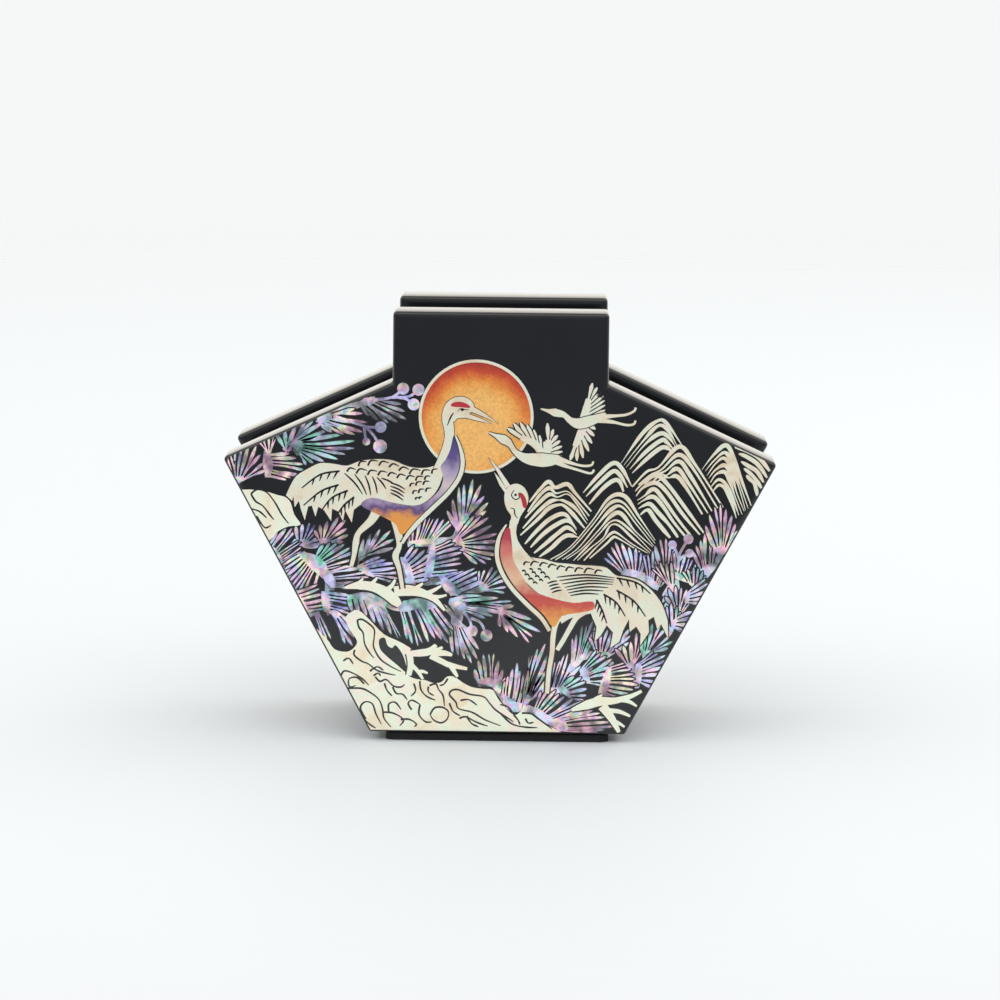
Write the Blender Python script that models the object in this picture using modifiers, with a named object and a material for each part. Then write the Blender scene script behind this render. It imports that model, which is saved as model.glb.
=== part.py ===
"""Card case for a desk: two lacquered boards of one jar outline, a U-shaped frame that holds
them apart and makes the pocket for the cards, and a thin pad underneath.

Metres, +Z up. X is the width and the front board faces -Y. The origin is on the ground below
the middle of the case.
"""
import math

import bpy
from mathutils import Vector

# Outline of a board, from its bottom edge upwards
BASE_WIDTH = 0.0556
SHOULDER_WIDTH = 0.120
NECK_WIDTH = 0.0466
SIDE_HEIGHT = 0.0598
SHOULDER_RISE = 0.0168
NECK_HEIGHT = 0.0154
CORNER_RADIUS = 0.0009

# Depth of the boards and of the slot between them
BOARD_THICKNESS = 0.012
SLOT_DEPTH = 0.027
EDGE_RADIUS = 0.0007

# U-shaped frame between the boards
FRAME_INSET = 0.0015
FRAME_WALL = 0.005
FRAME_FLOOR = 0.006
FRAME_TOP_DROP = 0.0078
FRAME_CORNER_RADIUS = 0.0008
FRAME_EDGE_RADIUS = 0.0004

# Pad underneath
PAD_THICKNESS = 0.0016
PAD_SIDE_INSET = 0.0035
PAD_FACE_INSET = 0.0012
PAD_CORNER_RADIUS = 0.002

# Clearance between pieces that touch, for the glue line
GLUE_LINE = 0.0003

# Fineness of the rounded corners and edges
ARC_STEPS = 5
EDGE_SEGMENTS = 3
EDGE_ANGLE = math.radians(60)
WELD_DISTANCE = 0.00001

LACQUER_BLACK = (0.010, 0.010, 0.012, 1.0)
FELT_BLACK = (0.018, 0.018, 0.018, 1.0)

# Levels and places that follow from the sizes above
CASE_DEPTH = SLOT_DEPTH + 2 * BOARD_THICKNESS
BOARD_OFFSET = (SLOT_DEPTH + BOARD_THICKNESS) / 2
BOARD_BOTTOM = PAD_THICKNESS + GLUE_LINE
FRAME_HEIGHT = SIDE_HEIGHT - FRAME_TOP_DROP
SIDE_SLANT = math.atan2((SHOULDER_WIDTH - BASE_WIDTH) / 2, SIDE_HEIGHT)


def clear_scene():
    for old in list(bpy.data.objects):
        bpy.data.objects.remove(old, do_unlink=True)


def make_collection(name):
    collection = bpy.data.collections.new(name)
    bpy.context.scene.collection.children.link(collection)
    return collection


def make_material(name, colour, roughness, coat):
    material = bpy.data.materials.new(name)
    material.use_nodes = True
    shader = material.node_tree.nodes["Principled BSDF"]
    shader.inputs["Base Color"].default_value = colour
    shader.inputs["Roughness"].default_value = roughness
    shader.inputs["Metallic"].default_value = 0.0
    shader.inputs["Coat Weight"].default_value = coat
    return material


def corner_arc(before, corner, after, radius):
    """Points of the arc that rounds one corner, from the edge before it to the edge after it."""
    back = (before - corner).normalized()
    ahead = (after - corner).normalized()
    half_angle = back.angle(ahead) / 2
    centre = corner + (back + ahead).normalized() * radius / math.sin(half_angle)
    start = corner + back * radius / math.tan(half_angle) - centre
    finish = corner + ahead * radius / math.tan(half_angle) - centre
    sweep = start.angle_signed(finish)
    points = []
    for step in range(ARC_STEPS + 1):
        turn = -sweep * step / ARC_STEPS
        x = start.x * math.cos(turn) - start.y * math.sin(turn)
        y = start.x * math.sin(turn) + start.y * math.cos(turn)
        points.append(centre + Vector((x, y)))
    return points


def rounded_outline(corners, radius):
    points = []
    count = len(corners)
    for index, corner in enumerate(corners):
        before = corners[index - 1]
        after = corners[(index + 1) % count]
        points.extend(corner_arc(before, corner, after, radius))
    return points


def both_sides(right_side):
    """A closed outline from the corners of its right side, bottom to top."""
    left_side = [Vector((-point.x, point.y)) for point in reversed(right_side)]
    return right_side + left_side


def side_half_width(height):
    """Half of a board's width at a height on its slanted side."""
    return BASE_WIDTH / 2 + height * math.tan(SIDE_SLANT)


def board_corners():
    shoulder = SIDE_HEIGHT + SHOULDER_RISE
    return both_sides([
        Vector((BASE_WIDTH / 2, 0)),
        Vector((SHOULDER_WIDTH / 2, SIDE_HEIGHT)),
        Vector((NECK_WIDTH / 2, shoulder)),
        Vector((NECK_WIDTH / 2, shoulder + NECK_HEIGHT)),
    ])


def frame_corners():
    """The U, with walls that run along the boards' slanted sides."""
    outer_inset = FRAME_INSET / math.cos(SIDE_SLANT)
    inner_inset = (FRAME_INSET + FRAME_WALL) / math.cos(SIDE_SLANT)
    outer = [
        Vector((side_half_width(0) - outer_inset, 0)),
        Vector((side_half_width(FRAME_HEIGHT) - outer_inset, FRAME_HEIGHT)),
    ]
    inner = [
        Vector((side_half_width(FRAME_HEIGHT) - inner_inset, FRAME_HEIGHT)),
        Vector((side_half_width(FRAME_FLOOR) - inner_inset, FRAME_FLOOR)),
    ]
    return both_sides(outer + inner)


def pad_corners():
    half_width = BASE_WIDTH / 2 - PAD_SIDE_INSET
    half_depth = CASE_DEPTH / 2 - PAD_FACE_INSET
    return both_sides([
        Vector((half_width, -half_depth)),
        Vector((half_width, half_depth)),
    ])


def make_slab(name, corners, corner_radius, thickness, material, collection):
    """A flat outline with rounded corners, made solid by half of its thickness each way."""
    curve = bpy.data.curves.new(name, "CURVE")
    curve.dimensions = "2D"
    curve.fill_mode = "BOTH"
    curve.extrude = thickness / 2
    points = rounded_outline(corners, corner_radius)
    spline = curve.splines.new("POLY")
    spline.points.add(len(points) - 1)
    for target, point in zip(spline.points, points):
        target.co = (point.x, point.y, 0, 1)
    spline.use_cyclic_u = True
    curve.materials.append(material)
    slab = bpy.data.objects.new(name, curve)
    collection.objects.link(slab)
    weld = slab.modifiers.new("weld_caps", "WELD")
    weld.merge_threshold = WELD_DISTANCE
    return slab


def round_edges(slab, radius):
    bevel = slab.modifiers.new("rounded_edges", "BEVEL")
    bevel.width = radius
    bevel.segments = EDGE_SEGMENTS
    bevel.limit_method = "ANGLE"
    bevel.angle_limit = EDGE_ANGLE
    bevel.use_clamp_overlap = False


def make_board(name, side, collection):
    """A board on the front, with side -1, or on the back, with side 1."""
    lacquer = make_material(name + "_lacquer", LACQUER_BLACK, 0.12, 1.0)
    board = make_slab(name, board_corners(), CORNER_RADIUS, BOARD_THICKNESS, lacquer, collection)
    round_edges(board, EDGE_RADIUS)
    board.rotation_euler = (math.radians(90), 0, 0)
    board.location = (0, side * BOARD_OFFSET, BOARD_BOTTOM)
    return board


def make_inner_frame(collection):
    lacquer = make_material("inner_frame_lacquer", LACQUER_BLACK, 0.35, 0.4)
    depth = SLOT_DEPTH - 2 * GLUE_LINE
    frame = make_slab("inner_frame", frame_corners(), FRAME_CORNER_RADIUS, depth, lacquer, collection)
    round_edges(frame, FRAME_EDGE_RADIUS)
    frame.rotation_euler = (math.radians(90), 0, 0)
    frame.location = (0, 0, BOARD_BOTTOM)
    return frame


def make_base_pad(collection):
    felt = make_material("base_pad_felt", FELT_BLACK, 0.95, 0.0)
    pad = make_slab("base_pad", pad_corners(), PAD_CORNER_RADIUS, PAD_THICKNESS, felt, collection)
    pad.location = (0, 0, PAD_THICKNESS / 2)
    return pad


def main():
    clear_scene()
    case = make_collection("card_case")
    make_board("front_plate", -1, case)
    make_board("back_plate", 1, case)
    make_inner_frame(case)
    make_base_pad(case)


main()
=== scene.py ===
"""The card case's looks: piano-black lacquer on two boards, and a shell picture let into the front.

Metres, +Z up. The front board faces -Y. The picture is drawn in millimetres on the front board's
face: across from its middle line, and up from its bottom edge.
"""
import itertools
import math
import random

import bmesh
import bpy
from mathutils import Matrix, Vector
from mathutils.geometry import tessellate_polygon


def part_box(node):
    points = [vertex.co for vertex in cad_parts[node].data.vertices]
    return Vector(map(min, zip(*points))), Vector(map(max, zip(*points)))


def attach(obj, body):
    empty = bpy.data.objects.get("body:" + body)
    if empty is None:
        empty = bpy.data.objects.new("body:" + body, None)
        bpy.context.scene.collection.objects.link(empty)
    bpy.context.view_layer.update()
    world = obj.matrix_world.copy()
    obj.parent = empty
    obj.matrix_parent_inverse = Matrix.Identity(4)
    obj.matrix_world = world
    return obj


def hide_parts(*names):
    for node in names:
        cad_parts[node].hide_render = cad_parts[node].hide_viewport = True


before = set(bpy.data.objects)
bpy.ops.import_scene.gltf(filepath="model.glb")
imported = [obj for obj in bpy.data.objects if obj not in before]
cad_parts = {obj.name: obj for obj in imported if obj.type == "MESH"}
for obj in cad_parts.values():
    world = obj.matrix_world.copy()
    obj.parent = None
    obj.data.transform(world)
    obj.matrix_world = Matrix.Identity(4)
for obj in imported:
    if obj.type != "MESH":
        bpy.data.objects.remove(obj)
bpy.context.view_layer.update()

MM = 0.001

# The small unevenness of handwork is the same in each run
random.seed(11)

# The front board's place, and the corners of its outline, which the rounded solid reaches only nearly
board_low, board_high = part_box("front_plate")
FACE_Y = board_low.y
BOARD_BOTTOM = board_low.z
BOARD_THICKNESS = board_high.y - board_low.y
BOARD_HEIGHT = (board_high.z - board_low.z) / MM
BASE_HALF = 27.8
SHOULDER_HALF = 60.0
NECK_HALF = 23.3
SIDE_HEIGHT = 59.8
NECK_ROOT = 76.6
CORNER_RADIUS = 0.9


# Colours and nodes

def linear(hex_colour):
    """A colour written as sRGB hex, as the shader's linear values."""
    values = [int(hex_colour[start:start + 2], 16) / 255 for start in (1, 3, 5)]
    return tuple(v / 12.92 if v <= 0.04045 else ((v + 0.055) / 1.055) ** 2.4 for v in values) + (1.0,)


def add_node(tree, kind, settings=None, **links):
    """A node with its settings. A link names an input and gives the socket or value that goes in."""
    node = tree.nodes.new(kind)
    for key, value in (settings or {}).items():
        setattr(node, key, value)
    for key, value in links.items():
        name = key.replace("_", " ")
        socket = node.inputs[int(name[3:])] if name.startswith("in ") else node.inputs[name]
        if isinstance(value, bpy.types.NodeSocket):
            tree.links.new(value, socket)
        else:
            socket.default_value = value
    return node


def new_material(name):
    """An empty material with its tree, its shader and the place on the piece in metres."""
    material = bpy.data.materials.new(name)
    material.use_nodes = True
    tree = material.node_tree
    shader = tree.nodes["Principled BSDF"]
    place = add_node(tree, "ShaderNodeTexCoord").outputs["Object"]
    return material, tree, shader, place


def colour_ramp(tree, factor, stops):
    """A run of colours, each a place from 0 to 1 and its sRGB hex."""
    ramp = add_node(tree, "ShaderNodeValToRGB", Fac=factor)
    elements = ramp.color_ramp.elements
    while len(elements) < len(stops):
        elements.new(0.5)
    for element, (position, hex_colour) in zip(elements, stops):
        element.position = position
        element.color = linear(hex_colour)
    return ramp.outputs["Color"]


def per_mm(size):
    """The scale of a texture whose features are this many millimetres across."""
    return 1 / (size * MM)


# Camera, floor and light

# The view that the straight edges in the photo give, in metres and radians, with the focal length in
# picture widths
PHOTO_FOCAL = 4340.4 / 1000
SENSOR_WIDTH = 36
CAMERA_DISTANCE = 0.93913
CAMERA_YAW = -0.0137
CAMERA_PITCH = 0.1322
CAMERA_ROLL = 0.0106
LOOK_AT = Vector((0.00014, FACE_Y, BOARD_BOTTOM + 0.05132))


def make_camera():
    """A long lens a little above the case, turned and rolled by about a degree as in the photo."""
    ahead = Vector((
        math.sin(CAMERA_YAW) * math.cos(CAMERA_PITCH),
        math.cos(CAMERA_YAW) * math.cos(CAMERA_PITCH),
        -math.sin(CAMERA_PITCH),
    ))
    right = Vector((math.cos(CAMERA_YAW), -math.sin(CAMERA_YAW), 0))
    up = right.cross(ahead)
    roll_right = right * math.cos(CAMERA_ROLL) + up * math.sin(CAMERA_ROLL)
    roll_up = up * math.cos(CAMERA_ROLL) - right * math.sin(CAMERA_ROLL)
    data = bpy.data.cameras.new("camera")
    data.sensor_width = SENSOR_WIDTH
    data.lens = PHOTO_FOCAL * SENSOR_WIDTH
    data.clip_start = 0.05
    data.clip_end = 20
    camera = bpy.data.objects.new("camera", data)
    bpy.context.scene.collection.objects.link(camera)
    turn = Matrix((roll_right, roll_up, -ahead)).transposed()
    camera.matrix_world = Matrix.Translation(LOOK_AT - ahead * CAMERA_DISTANCE) @ turn.to_4x4()
    bpy.context.scene.camera = camera


# The tabletop in metres: where it starts and ends to fade in front of the case, and all round it
FLOOR_RADIUS = 2.4
FLOOR_DROP = 0.00002
NEAR_FADE = (-0.12, -0.34)
FAR_FADE = (0.5, 1.8)


def make_floor():
    """A pale tabletop a hair below the case, which fades into the white of the room."""
    bpy.ops.mesh.primitive_circle_add(vertices=128, radius=FLOOR_RADIUS, fill_type="NGON",
                                      location=(0, 0, -FLOOR_DROP))
    floor = bpy.context.object
    floor.name = "floor"
    material, tree, shader, place = new_material("white_painted_board")
    shader.inputs["Base Color"].default_value = linear("#DFE5EC")
    shader.inputs["Roughness"].default_value = 0.5
    parts = add_node(tree, "ShaderNodeSeparateXYZ", Vector=place)
    near = add_node(tree, "ShaderNodeMapRange", {"interpolation_type": "SMOOTHSTEP"},
                    Value=parts.outputs["Y"], From_Min=NEAR_FADE[0], From_Max=NEAR_FADE[1])
    length = add_node(tree, "ShaderNodeVectorMath", {"operation": "LENGTH"}, in_0=place)
    far = add_node(tree, "ShaderNodeMapRange", {"interpolation_type": "SMOOTHSTEP"},
                   Value=length.outputs["Value"], From_Min=FAR_FADE[0], From_Max=FAR_FADE[1])
    fade = add_node(tree, "ShaderNodeMath", {"operation": "MAXIMUM"},
                    in_0=near.outputs["Result"], in_1=far.outputs["Result"])
    clear = add_node(tree, "ShaderNodeBsdfTransparent")
    mix = add_node(tree, "ShaderNodeMixShader", None, in_0=fade.outputs[0],
                   in_1=shader.outputs[0], in_2=clear.outputs[0])
    tree.links.new(mix.outputs[0], tree.nodes["Material Output"].inputs["Surface"])
    floor.data.materials.append(material)


# What the lacquer mirrors, by where a direction points: -Y is in front and Z is up. Each edge comes in
# softly from its first value to its second.
ROOM_EDGES = {
    "corner_front": ("Y", -0.35, -0.85),
    "corner_low": ("Z", 0.45, 0.0),
    "pane_front": ("Y", -0.2, -0.6),
    "pane_foot": ("Z", 0.4, 0.5),
    "pane_head": ("Z", 0.9, 0.8),
}
ROOM_COLOURS = [(0.0, "#FFFCF4"), (0.45, "#CDD1D8"), (1.0, "#959BA5")]
PANE_GLOW = (1.15, 1.16, 1.18)
SEEN_WHITE = "#F6F8F8"


def make_world():
    """A white room. The lacquer mirrors a dark corner low in front and a bright pane high in front."""
    world = bpy.data.worlds.new("white_room")
    world.use_nodes = True
    tree = world.node_tree
    background = tree.nodes["Background"]
    ray = add_node(tree, "ShaderNodeTexCoord").outputs["Generated"]
    parts = add_node(tree, "ShaderNodeSeparateXYZ", Vector=ray)
    edges = {}
    for name, (axis, start, end) in ROOM_EDGES.items():
        edge = add_node(tree, "ShaderNodeMapRange", {"interpolation_type": "SMOOTHSTEP"},
                        Value=parts.outputs[axis], From_Min=start, From_Max=end)
        edges[name] = edge.outputs["Result"]
    corner = add_node(tree, "ShaderNodeMath", {"operation": "MULTIPLY"},
                      in_0=edges["corner_front"], in_1=edges["corner_low"])
    room = colour_ramp(tree, corner.outputs[0], ROOM_COLOURS)
    band = add_node(tree, "ShaderNodeMath", {"operation": "MULTIPLY"},
                    in_0=edges["pane_foot"], in_1=edges["pane_head"])
    pane = add_node(tree, "ShaderNodeMath", {"operation": "MULTIPLY"},
                    in_0=band.outputs[0], in_1=edges["pane_front"])
    lit_room = add_node(tree, "ShaderNodeVectorMath", {"operation": "MULTIPLY_ADD"},
                        in_0=pane.outputs[0], in_1=PANE_GLOW, in_2=room)
    seen = add_node(tree, "ShaderNodeLightPath").outputs["Is Camera Ray"]
    mix = add_node(tree, "ShaderNodeMix", {"data_type": "RGBA"}, Factor=seen)
    tree.links.new(lit_room.outputs["Vector"], mix.inputs["A"])
    mix.inputs["B"].default_value = linear(SEEN_WHITE)
    tree.links.new(mix.outputs["Result"], background.inputs["Color"])
    background.inputs["Strength"].default_value = 1.0
    bpy.context.scene.world = world


def add_softbox(name, place, target, width, power):
    """A square soft light in metres and watts, turned to a target."""
    data = bpy.data.lights.new(name, "AREA")
    data.size = width
    data.energy = power
    lamp = bpy.data.objects.new(name, data)
    bpy.context.scene.collection.objects.link(lamp)
    lamp.location = place
    lamp.rotation_euler = (Vector(target) - Vector(place)).to_track_quat("-Z", "Y").to_euler()


def make_light():
    make_world()
    add_softbox("window", (-0.8, -0.35, 0.75), (0, 0, 0.04), 1.2, 1.1)
    add_softbox("fill", (0.8, 0.5, 0.7), (0, 0, 0.0), 1.4, 2.8)
    bpy.context.scene.view_settings.view_transform = "Standard"


# Boards

CORNER_STEPS = 6
SHARPEST_CORNER = 0.25


def corner_arc(before, corner, after, radius):
    """The points of the arc that rounds a corner, from the edge before it to the edge after it."""
    back = (before - corner).normalized()
    ahead = (after - corner).normalized()
    half_angle = back.angle(ahead) / 2
    centre = corner + (back + ahead).normalized() * radius / math.sin(half_angle)
    start = corner + back * radius / math.tan(half_angle) - centre
    finish = corner + ahead * radius / math.tan(half_angle) - centre
    sweep = start.angle_signed(finish)
    points = []
    for step in range(CORNER_STEPS + 1):
        turn = Matrix.Rotation(-sweep * step / CORNER_STEPS, 2)
        points.append(centre + turn @ start)
    return points


def board_corners():
    """The eight corners of the outline in millimetres, round the board from the base's right."""
    right = [
        Vector((BASE_HALF, 0)),
        Vector((SHOULDER_HALF, SIDE_HEIGHT)),
        Vector((NECK_HALF, NECK_ROOT)),
        Vector((NECK_HALF, BOARD_HEIGHT)),
    ]
    return right + [Vector((-p.x, p.y)) for p in reversed(right)]


def inset_corners(inset):
    """The outline's corners moved in from all its edges by a distance."""
    corners = board_corners()
    count = len(corners)
    moved = []
    for index, corner in enumerate(corners):
        along_in = (corner - corners[index - 1]).normalized()
        along_out = (corners[(index + 1) % count] - corner).normalized()
        inward_in = Vector((-along_in.y, along_in.x))
        inward_out = Vector((-along_out.y, along_out.x))
        reach = (inward_in + inward_out) / (1 + inward_in.dot(inward_out))
        moved.append(corner + reach * inset)
    return moved


def inset_loop(inset):
    """The outline moved in by a distance, with rounded corners."""
    radius = max(CORNER_RADIUS - inset, SHARPEST_CORNER)
    corners = inset_corners(inset)
    count = len(corners)
    points = []
    for index, corner in enumerate(corners):
        points.extend(corner_arc(corners[index - 1], corner, corners[(index + 1) % count], radius))
    return points


# How far the polished face has fallen back at a distance in from the edge, both in millimetres.
# Lacquer draws thin at an arris, so the face is flat only from about 3.4 mm in.
RIM_FALL = [(0.0, 0.78), (0.05, 0.56), (0.18, 0.34), (0.38, 0.19), (0.62, 0.125), (1.35, 0.055),
            (1.6, 0.042), (2.6, 0.012), (3.4, 0.0)]


def rim_fall(inset):
    """How far the face has fallen back at a distance in from the edge."""
    for (near, near_fall), (far, far_fall) in zip(RIM_FALL, RIM_FALL[1:]):
        if inset < far:
            share = (inset - near) / (far - near)
            return near_fall + (far_fall - near_fall) * share
    return 0.0


def edge_distance(across, up):
    """How far a point of the face is from the nearest edge of the outline, in millimetres."""
    point = Vector((across, up))
    corners = board_corners()
    nearest = SHOULDER_HALF
    for index, corner in enumerate(corners):
        edge = corners[(index + 1) % len(corners)] - corner
        share = max(0.0, min(1.0, (point - corner).dot(edge) / edge.length_squared))
        nearest = min(nearest, (corner + edge * share - point).length)
    return nearest


def make_board(name, front_y, material, node):
    """A board with rolled edges, built as rings from the flat of its front to the flat of its back."""
    thickness = BOARD_THICKNESS / MM
    rings = RIM_FALL[::-1] + [(inset, thickness - fall) for inset, fall in RIM_FALL]
    vertices = []
    for inset, depth in rings:
        for point in inset_loop(inset):
            vertices.append((point.x * MM, front_y + depth * MM, BOARD_BOTTOM + point.y * MM))
    count = len(vertices) // len(rings)
    faces = [list(range(count))]
    for ring in range(len(rings) - 1):
        for index in range(count):
            ahead = (index + 1) % count
            faces.append((
                ring * count + index,
                (ring + 1) * count + index,
                (ring + 1) * count + ahead,
                ring * count + ahead,
            ))
    last = (len(rings) - 1) * count
    faces.append([last + index for index in reversed(range(count))])
    mesh = bpy.data.meshes.new(name)
    mesh.from_pydata(vertices, [], faces)
    mesh.materials.append(material)
    mesh.shade_smooth()
    board = bpy.data.objects.new(name, mesh)
    bpy.context.scene.collection.objects.link(board)
    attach(board, "root")
    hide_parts(node)


def piano_lacquer():
    """Black lacquer, sprayed and polished: nearly black under a clear gloss with a slow ripple."""
    material, tree, shader, place = new_material("piano_lacquer")
    cloud = add_node(tree, "ShaderNodeTexNoise", Vector=place, Scale=per_mm(22), Detail=2.0)
    colour = colour_ramp(tree, cloud.outputs["Fac"], [(0.3, "#0C0D0F"), (0.7, "#131417")])
    tree.links.new(colour, shader.inputs["Base Color"])
    shader.inputs["Roughness"].default_value = 0.3
    shader.inputs["Specular IOR Level"].default_value = 0.2
    shader.inputs["Coat Weight"].default_value = 1.0
    shader.inputs["Coat Roughness"].default_value = 0.035
    shader.inputs["Coat IOR"].default_value = 1.42
    ripple = add_node(tree, "ShaderNodeTexNoise", Vector=place, Scale=per_mm(9), Detail=1.0)
    bump = add_node(tree, "ShaderNodeBump", Height=ripple.outputs["Fac"], Strength=0.06, Distance=0.0006)
    tree.links.new(bump.outputs["Normal"], shader.inputs["Coat Normal"])
    return material


def satin_lacquer():
    """The same lacquer unpolished, inside the pocket, with the fine grain of sprayed board under it."""
    material, tree, shader, place = new_material("satin_black_lacquer")
    grain = add_node(tree, "ShaderNodeTexNoise", Vector=place, Scale=per_mm(0.8), Detail=4.0)
    colour = colour_ramp(tree, grain.outputs["Fac"], [(0.3, "#131416"), (0.75, "#202124")])
    tree.links.new(colour, shader.inputs["Base Color"])
    shader.inputs["Roughness"].default_value = 0.42
    bump = add_node(tree, "ShaderNodeBump", Height=grain.outputs["Fac"], Strength=0.2, Distance=0.0001)
    tree.links.new(bump.outputs["Normal"], shader.inputs["Normal"])
    return material


def felt_with_painted_shade():
    """Pressed black felt: soft, dull and fibrous, painted darker than felt so that it also stands for the
    shade under the board.
    """
    material, tree, shader, place = new_material("felt_with_painted_shade")
    fibres = add_node(tree, "ShaderNodeTexNoise", Vector=place, Scale=per_mm(0.35), Detail=6.0,
                      Roughness=0.7)
    # Painted shade: the felt's black is made darker to stand for the shade under the board's bottom edge
    colour = colour_ramp(tree, fibres.outputs["Fac"], [(0.3, "#0F0F11"), (0.75, "#1E1E20")])
    tree.links.new(colour, shader.inputs["Base Color"])
    shader.inputs["Roughness"].default_value = 0.95
    bump = add_node(tree, "ShaderNodeBump", Height=fibres.outputs["Fac"], Strength=0.6, Distance=0.0002)
    tree.links.new(bump.outputs["Normal"], shader.inputs["Normal"])
    return material


def make_case():
    lacquer = piano_lacquer()
    make_board("front_board", FACE_Y, lacquer, "front_plate")
    make_board("back_board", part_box("back_plate")[0].y, lacquer, "back_plate")
    for node, material in (("inner_frame", satin_lacquer()), ("base_pad", felt_with_painted_shade())):
        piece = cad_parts[node]
        piece.data.materials.clear()
        piece.data.materials.append(material)


# Drawing on the face, in millimetres

SLIVER = 1e-6
THINNEST_CUT = 0.26


class Sheet:
    """Flat cut-outs of one shell or lacquer. Of two that overlap, the later one lies higher."""

    def __init__(self):
        self.points = []
        self.faces = []

    def strip(self, left, right, height):
        """A cut-out between a left and a right edge of as many points."""
        first = len(self.points)
        for left_point, right_point in zip(left, right):
            self.points.append((left_point.x, left_point.y, height))
            self.points.append((right_point.x, right_point.y, height))
        for index in range(len(left) - 1):
            start = first + 2 * index
            self.faces.append((start + 1, start + 3, start + 2, start))

    def patch(self, outline, height):
        """A cut-out with a closed outline."""
        first = len(self.points)
        self.points.extend((point.x, point.y, height) for point in outline)
        for a, b, c in tessellate_polygon([[Vector((p.x, p.y, 0)) for p in outline]]):
            turn = (outline[b] - outline[a]).cross(outline[c] - outline[a])
            triangle = (a, b, c) if turn > 0 else (a, c, b)
            if abs(turn) > SLIVER:
                self.faces.append(tuple(first + corner for corner in triangle))


def points_of(pairs):
    """Points from pairs of numbers: across from the middle, and up from the bottom edge."""
    return [Vector(pair) for pair in pairs]


def smooth(pairs, steps, closed=False):
    """A soft curve through the points of a line or of a closed outline, in steps between them."""
    points = points_of(pairs)
    count = len(points)
    curve = []
    for index in range(count if closed else count - 1):
        before = points[index - 1] if closed or index else points[0]
        start = points[index]
        end = points[(index + 1) % count]
        after = points[(index + 2) % count] if closed else points[min(index + 2, count - 1)]
        for step in range(steps):
            t = step / steps
            curve.append(0.5 * (2 * start + (end - before) * t
                                + (2 * before - 5 * start + 4 * end - after) * t ** 2
                                + (3 * start - before - 3 * end + after) * t ** 3))
    if not closed:
        curve.append(points[-1])
    return curve


def along(values, share):
    """The value at a share of the way through a list of numbers or points."""
    place = share * (len(values) - 1)
    index = min(int(place), len(values) - 2)
    return values[index] + (values[index + 1] - values[index]) * (place - index)


def ribbon(sheet, path, widths, height):
    """A cut-out that follows a path, with its width worked out from a list along the path."""
    last = len(path) - 1
    left = []
    right = []
    for index, point in enumerate(path):
        ahead = path[min(index + 1, last)] - path[max(index - 1, 0)]
        side = Vector((-ahead.y, ahead.x)).normalized() * along(widths, index / last) / 2
        left.append(point + side)
        right.append(point - side)
    sheet.strip(left, right, height)


def fitted_widths(paths, index, widest, gap):
    """The widths along one of several paths side by side, which leave a gap to its neighbours."""
    widths = []
    for step, point in enumerate(paths[index]):
        near = [paths[other][step] for other in (index - 1, index + 1) if 0 <= other < len(paths)]
        room = min((other - point).length for other in near)
        widths.append(max(THINNEST_CUT, min(widest, room - gap)))
    return widths


def disc(sheet, centre, radius, height, count):
    """A round cut-out."""
    arm = Vector((radius, 0))
    sheet.patch([centre + Matrix.Rotation(math.tau * i / count, 2) @ arm for i in range(count)], height)


# The picture stops this far short of the board's edges: the base, the sides and the shoulders, by the
# number of the corner that each starts from. The leaf goes this far into the lacquer.
PICTURE_MARGIN = 0.45
PICTURE_EDGES = (7, 0, 1, 5, 6)
LEAF_DEPTH = 0.2
CUT_TOLERANCE = 0.0005


def picture_edges():
    """A corner on each edge of the board that the picture meets, and the edge's inward direction."""
    corners = board_corners()
    for index in PICTURE_EDGES:
        edge = (corners[(index + 1) % len(corners)] - corners[index]).normalized()
        yield corners[index], Vector((-edge.y, edge.x))


def let_in(name, sheet, material):
    """Cut a sheet to the board, lay it on the face and let it into the lacquer as one closed piece."""
    leaf = bmesh.new()
    corners = [leaf.verts.new((u, -height, v)) for u, v, height in sheet.points]
    for face in sheet.faces:
        leaf.faces.new([corners[index] for index in face])
    insets = [PICTURE_MARGIN] + [inset for inset, fall in RIM_FALL if inset > PICTURE_MARGIN]
    for corner, inward in picture_edges():
        for inset in insets:
            place = corner + inward * inset
            bmesh.ops.bisect_plane(
                leaf, geom=leaf.verts[:] + leaf.edges[:] + leaf.faces[:],
                plane_co=(place.x, 0, place.y), plane_no=(-inward.x, 0, -inward.y),
                dist=CUT_TOLERANCE, clear_outer=inset == PICTURE_MARGIN)
    bmesh.ops.delete(leaf, geom=[vert for vert in leaf.verts if not vert.link_faces], context="VERTS")
    leaf.verts.index_update()
    top = [vert.co.copy() for vert in leaf.verts]
    vertices = []
    for in_lacquer in (False, True):
        for point in top:
            fall = rim_fall(edge_distance(point.x, point.z))
            depth = fall + (LEAF_DEPTH if in_lacquer else point.y)
            vertices.append((point.x * MM, FACE_Y + depth * MM, BOARD_BOTTOM + point.z * MM))
    count = len(top)
    faces = [[vert.index for vert in face.verts] for face in leaf.faces]
    faces += [[count + index for index in reversed(face)] for face in faces]
    for edge in leaf.edges:
        if len(edge.link_loops) == 1:
            loop = edge.link_loops[0]
            start = loop.vert.index
            end = loop.link_loop_next.vert.index
            faces.append([end, start, count + start, count + end])
    leaf.free()
    mesh = bpy.data.meshes.new(name)
    mesh.from_pydata(vertices, [], faces)
    mesh.materials.append(material)
    piece = bpy.data.objects.new(name, mesh)
    bpy.context.scene.collection.objects.link(piece)
    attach(piece, "root")


# Every cut-out lies a hair above the one before it, from the sun at the back to the birds in front
LEVEL_STEP = 0.0003
FIRST_LEVEL = 30
levels = itertools.count(FIRST_LEVEL)


def over():
    """A height just above everything drawn so far, in millimetres above the face."""
    return next(levels) * LEVEL_STEP


# Materials of the picture

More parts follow.
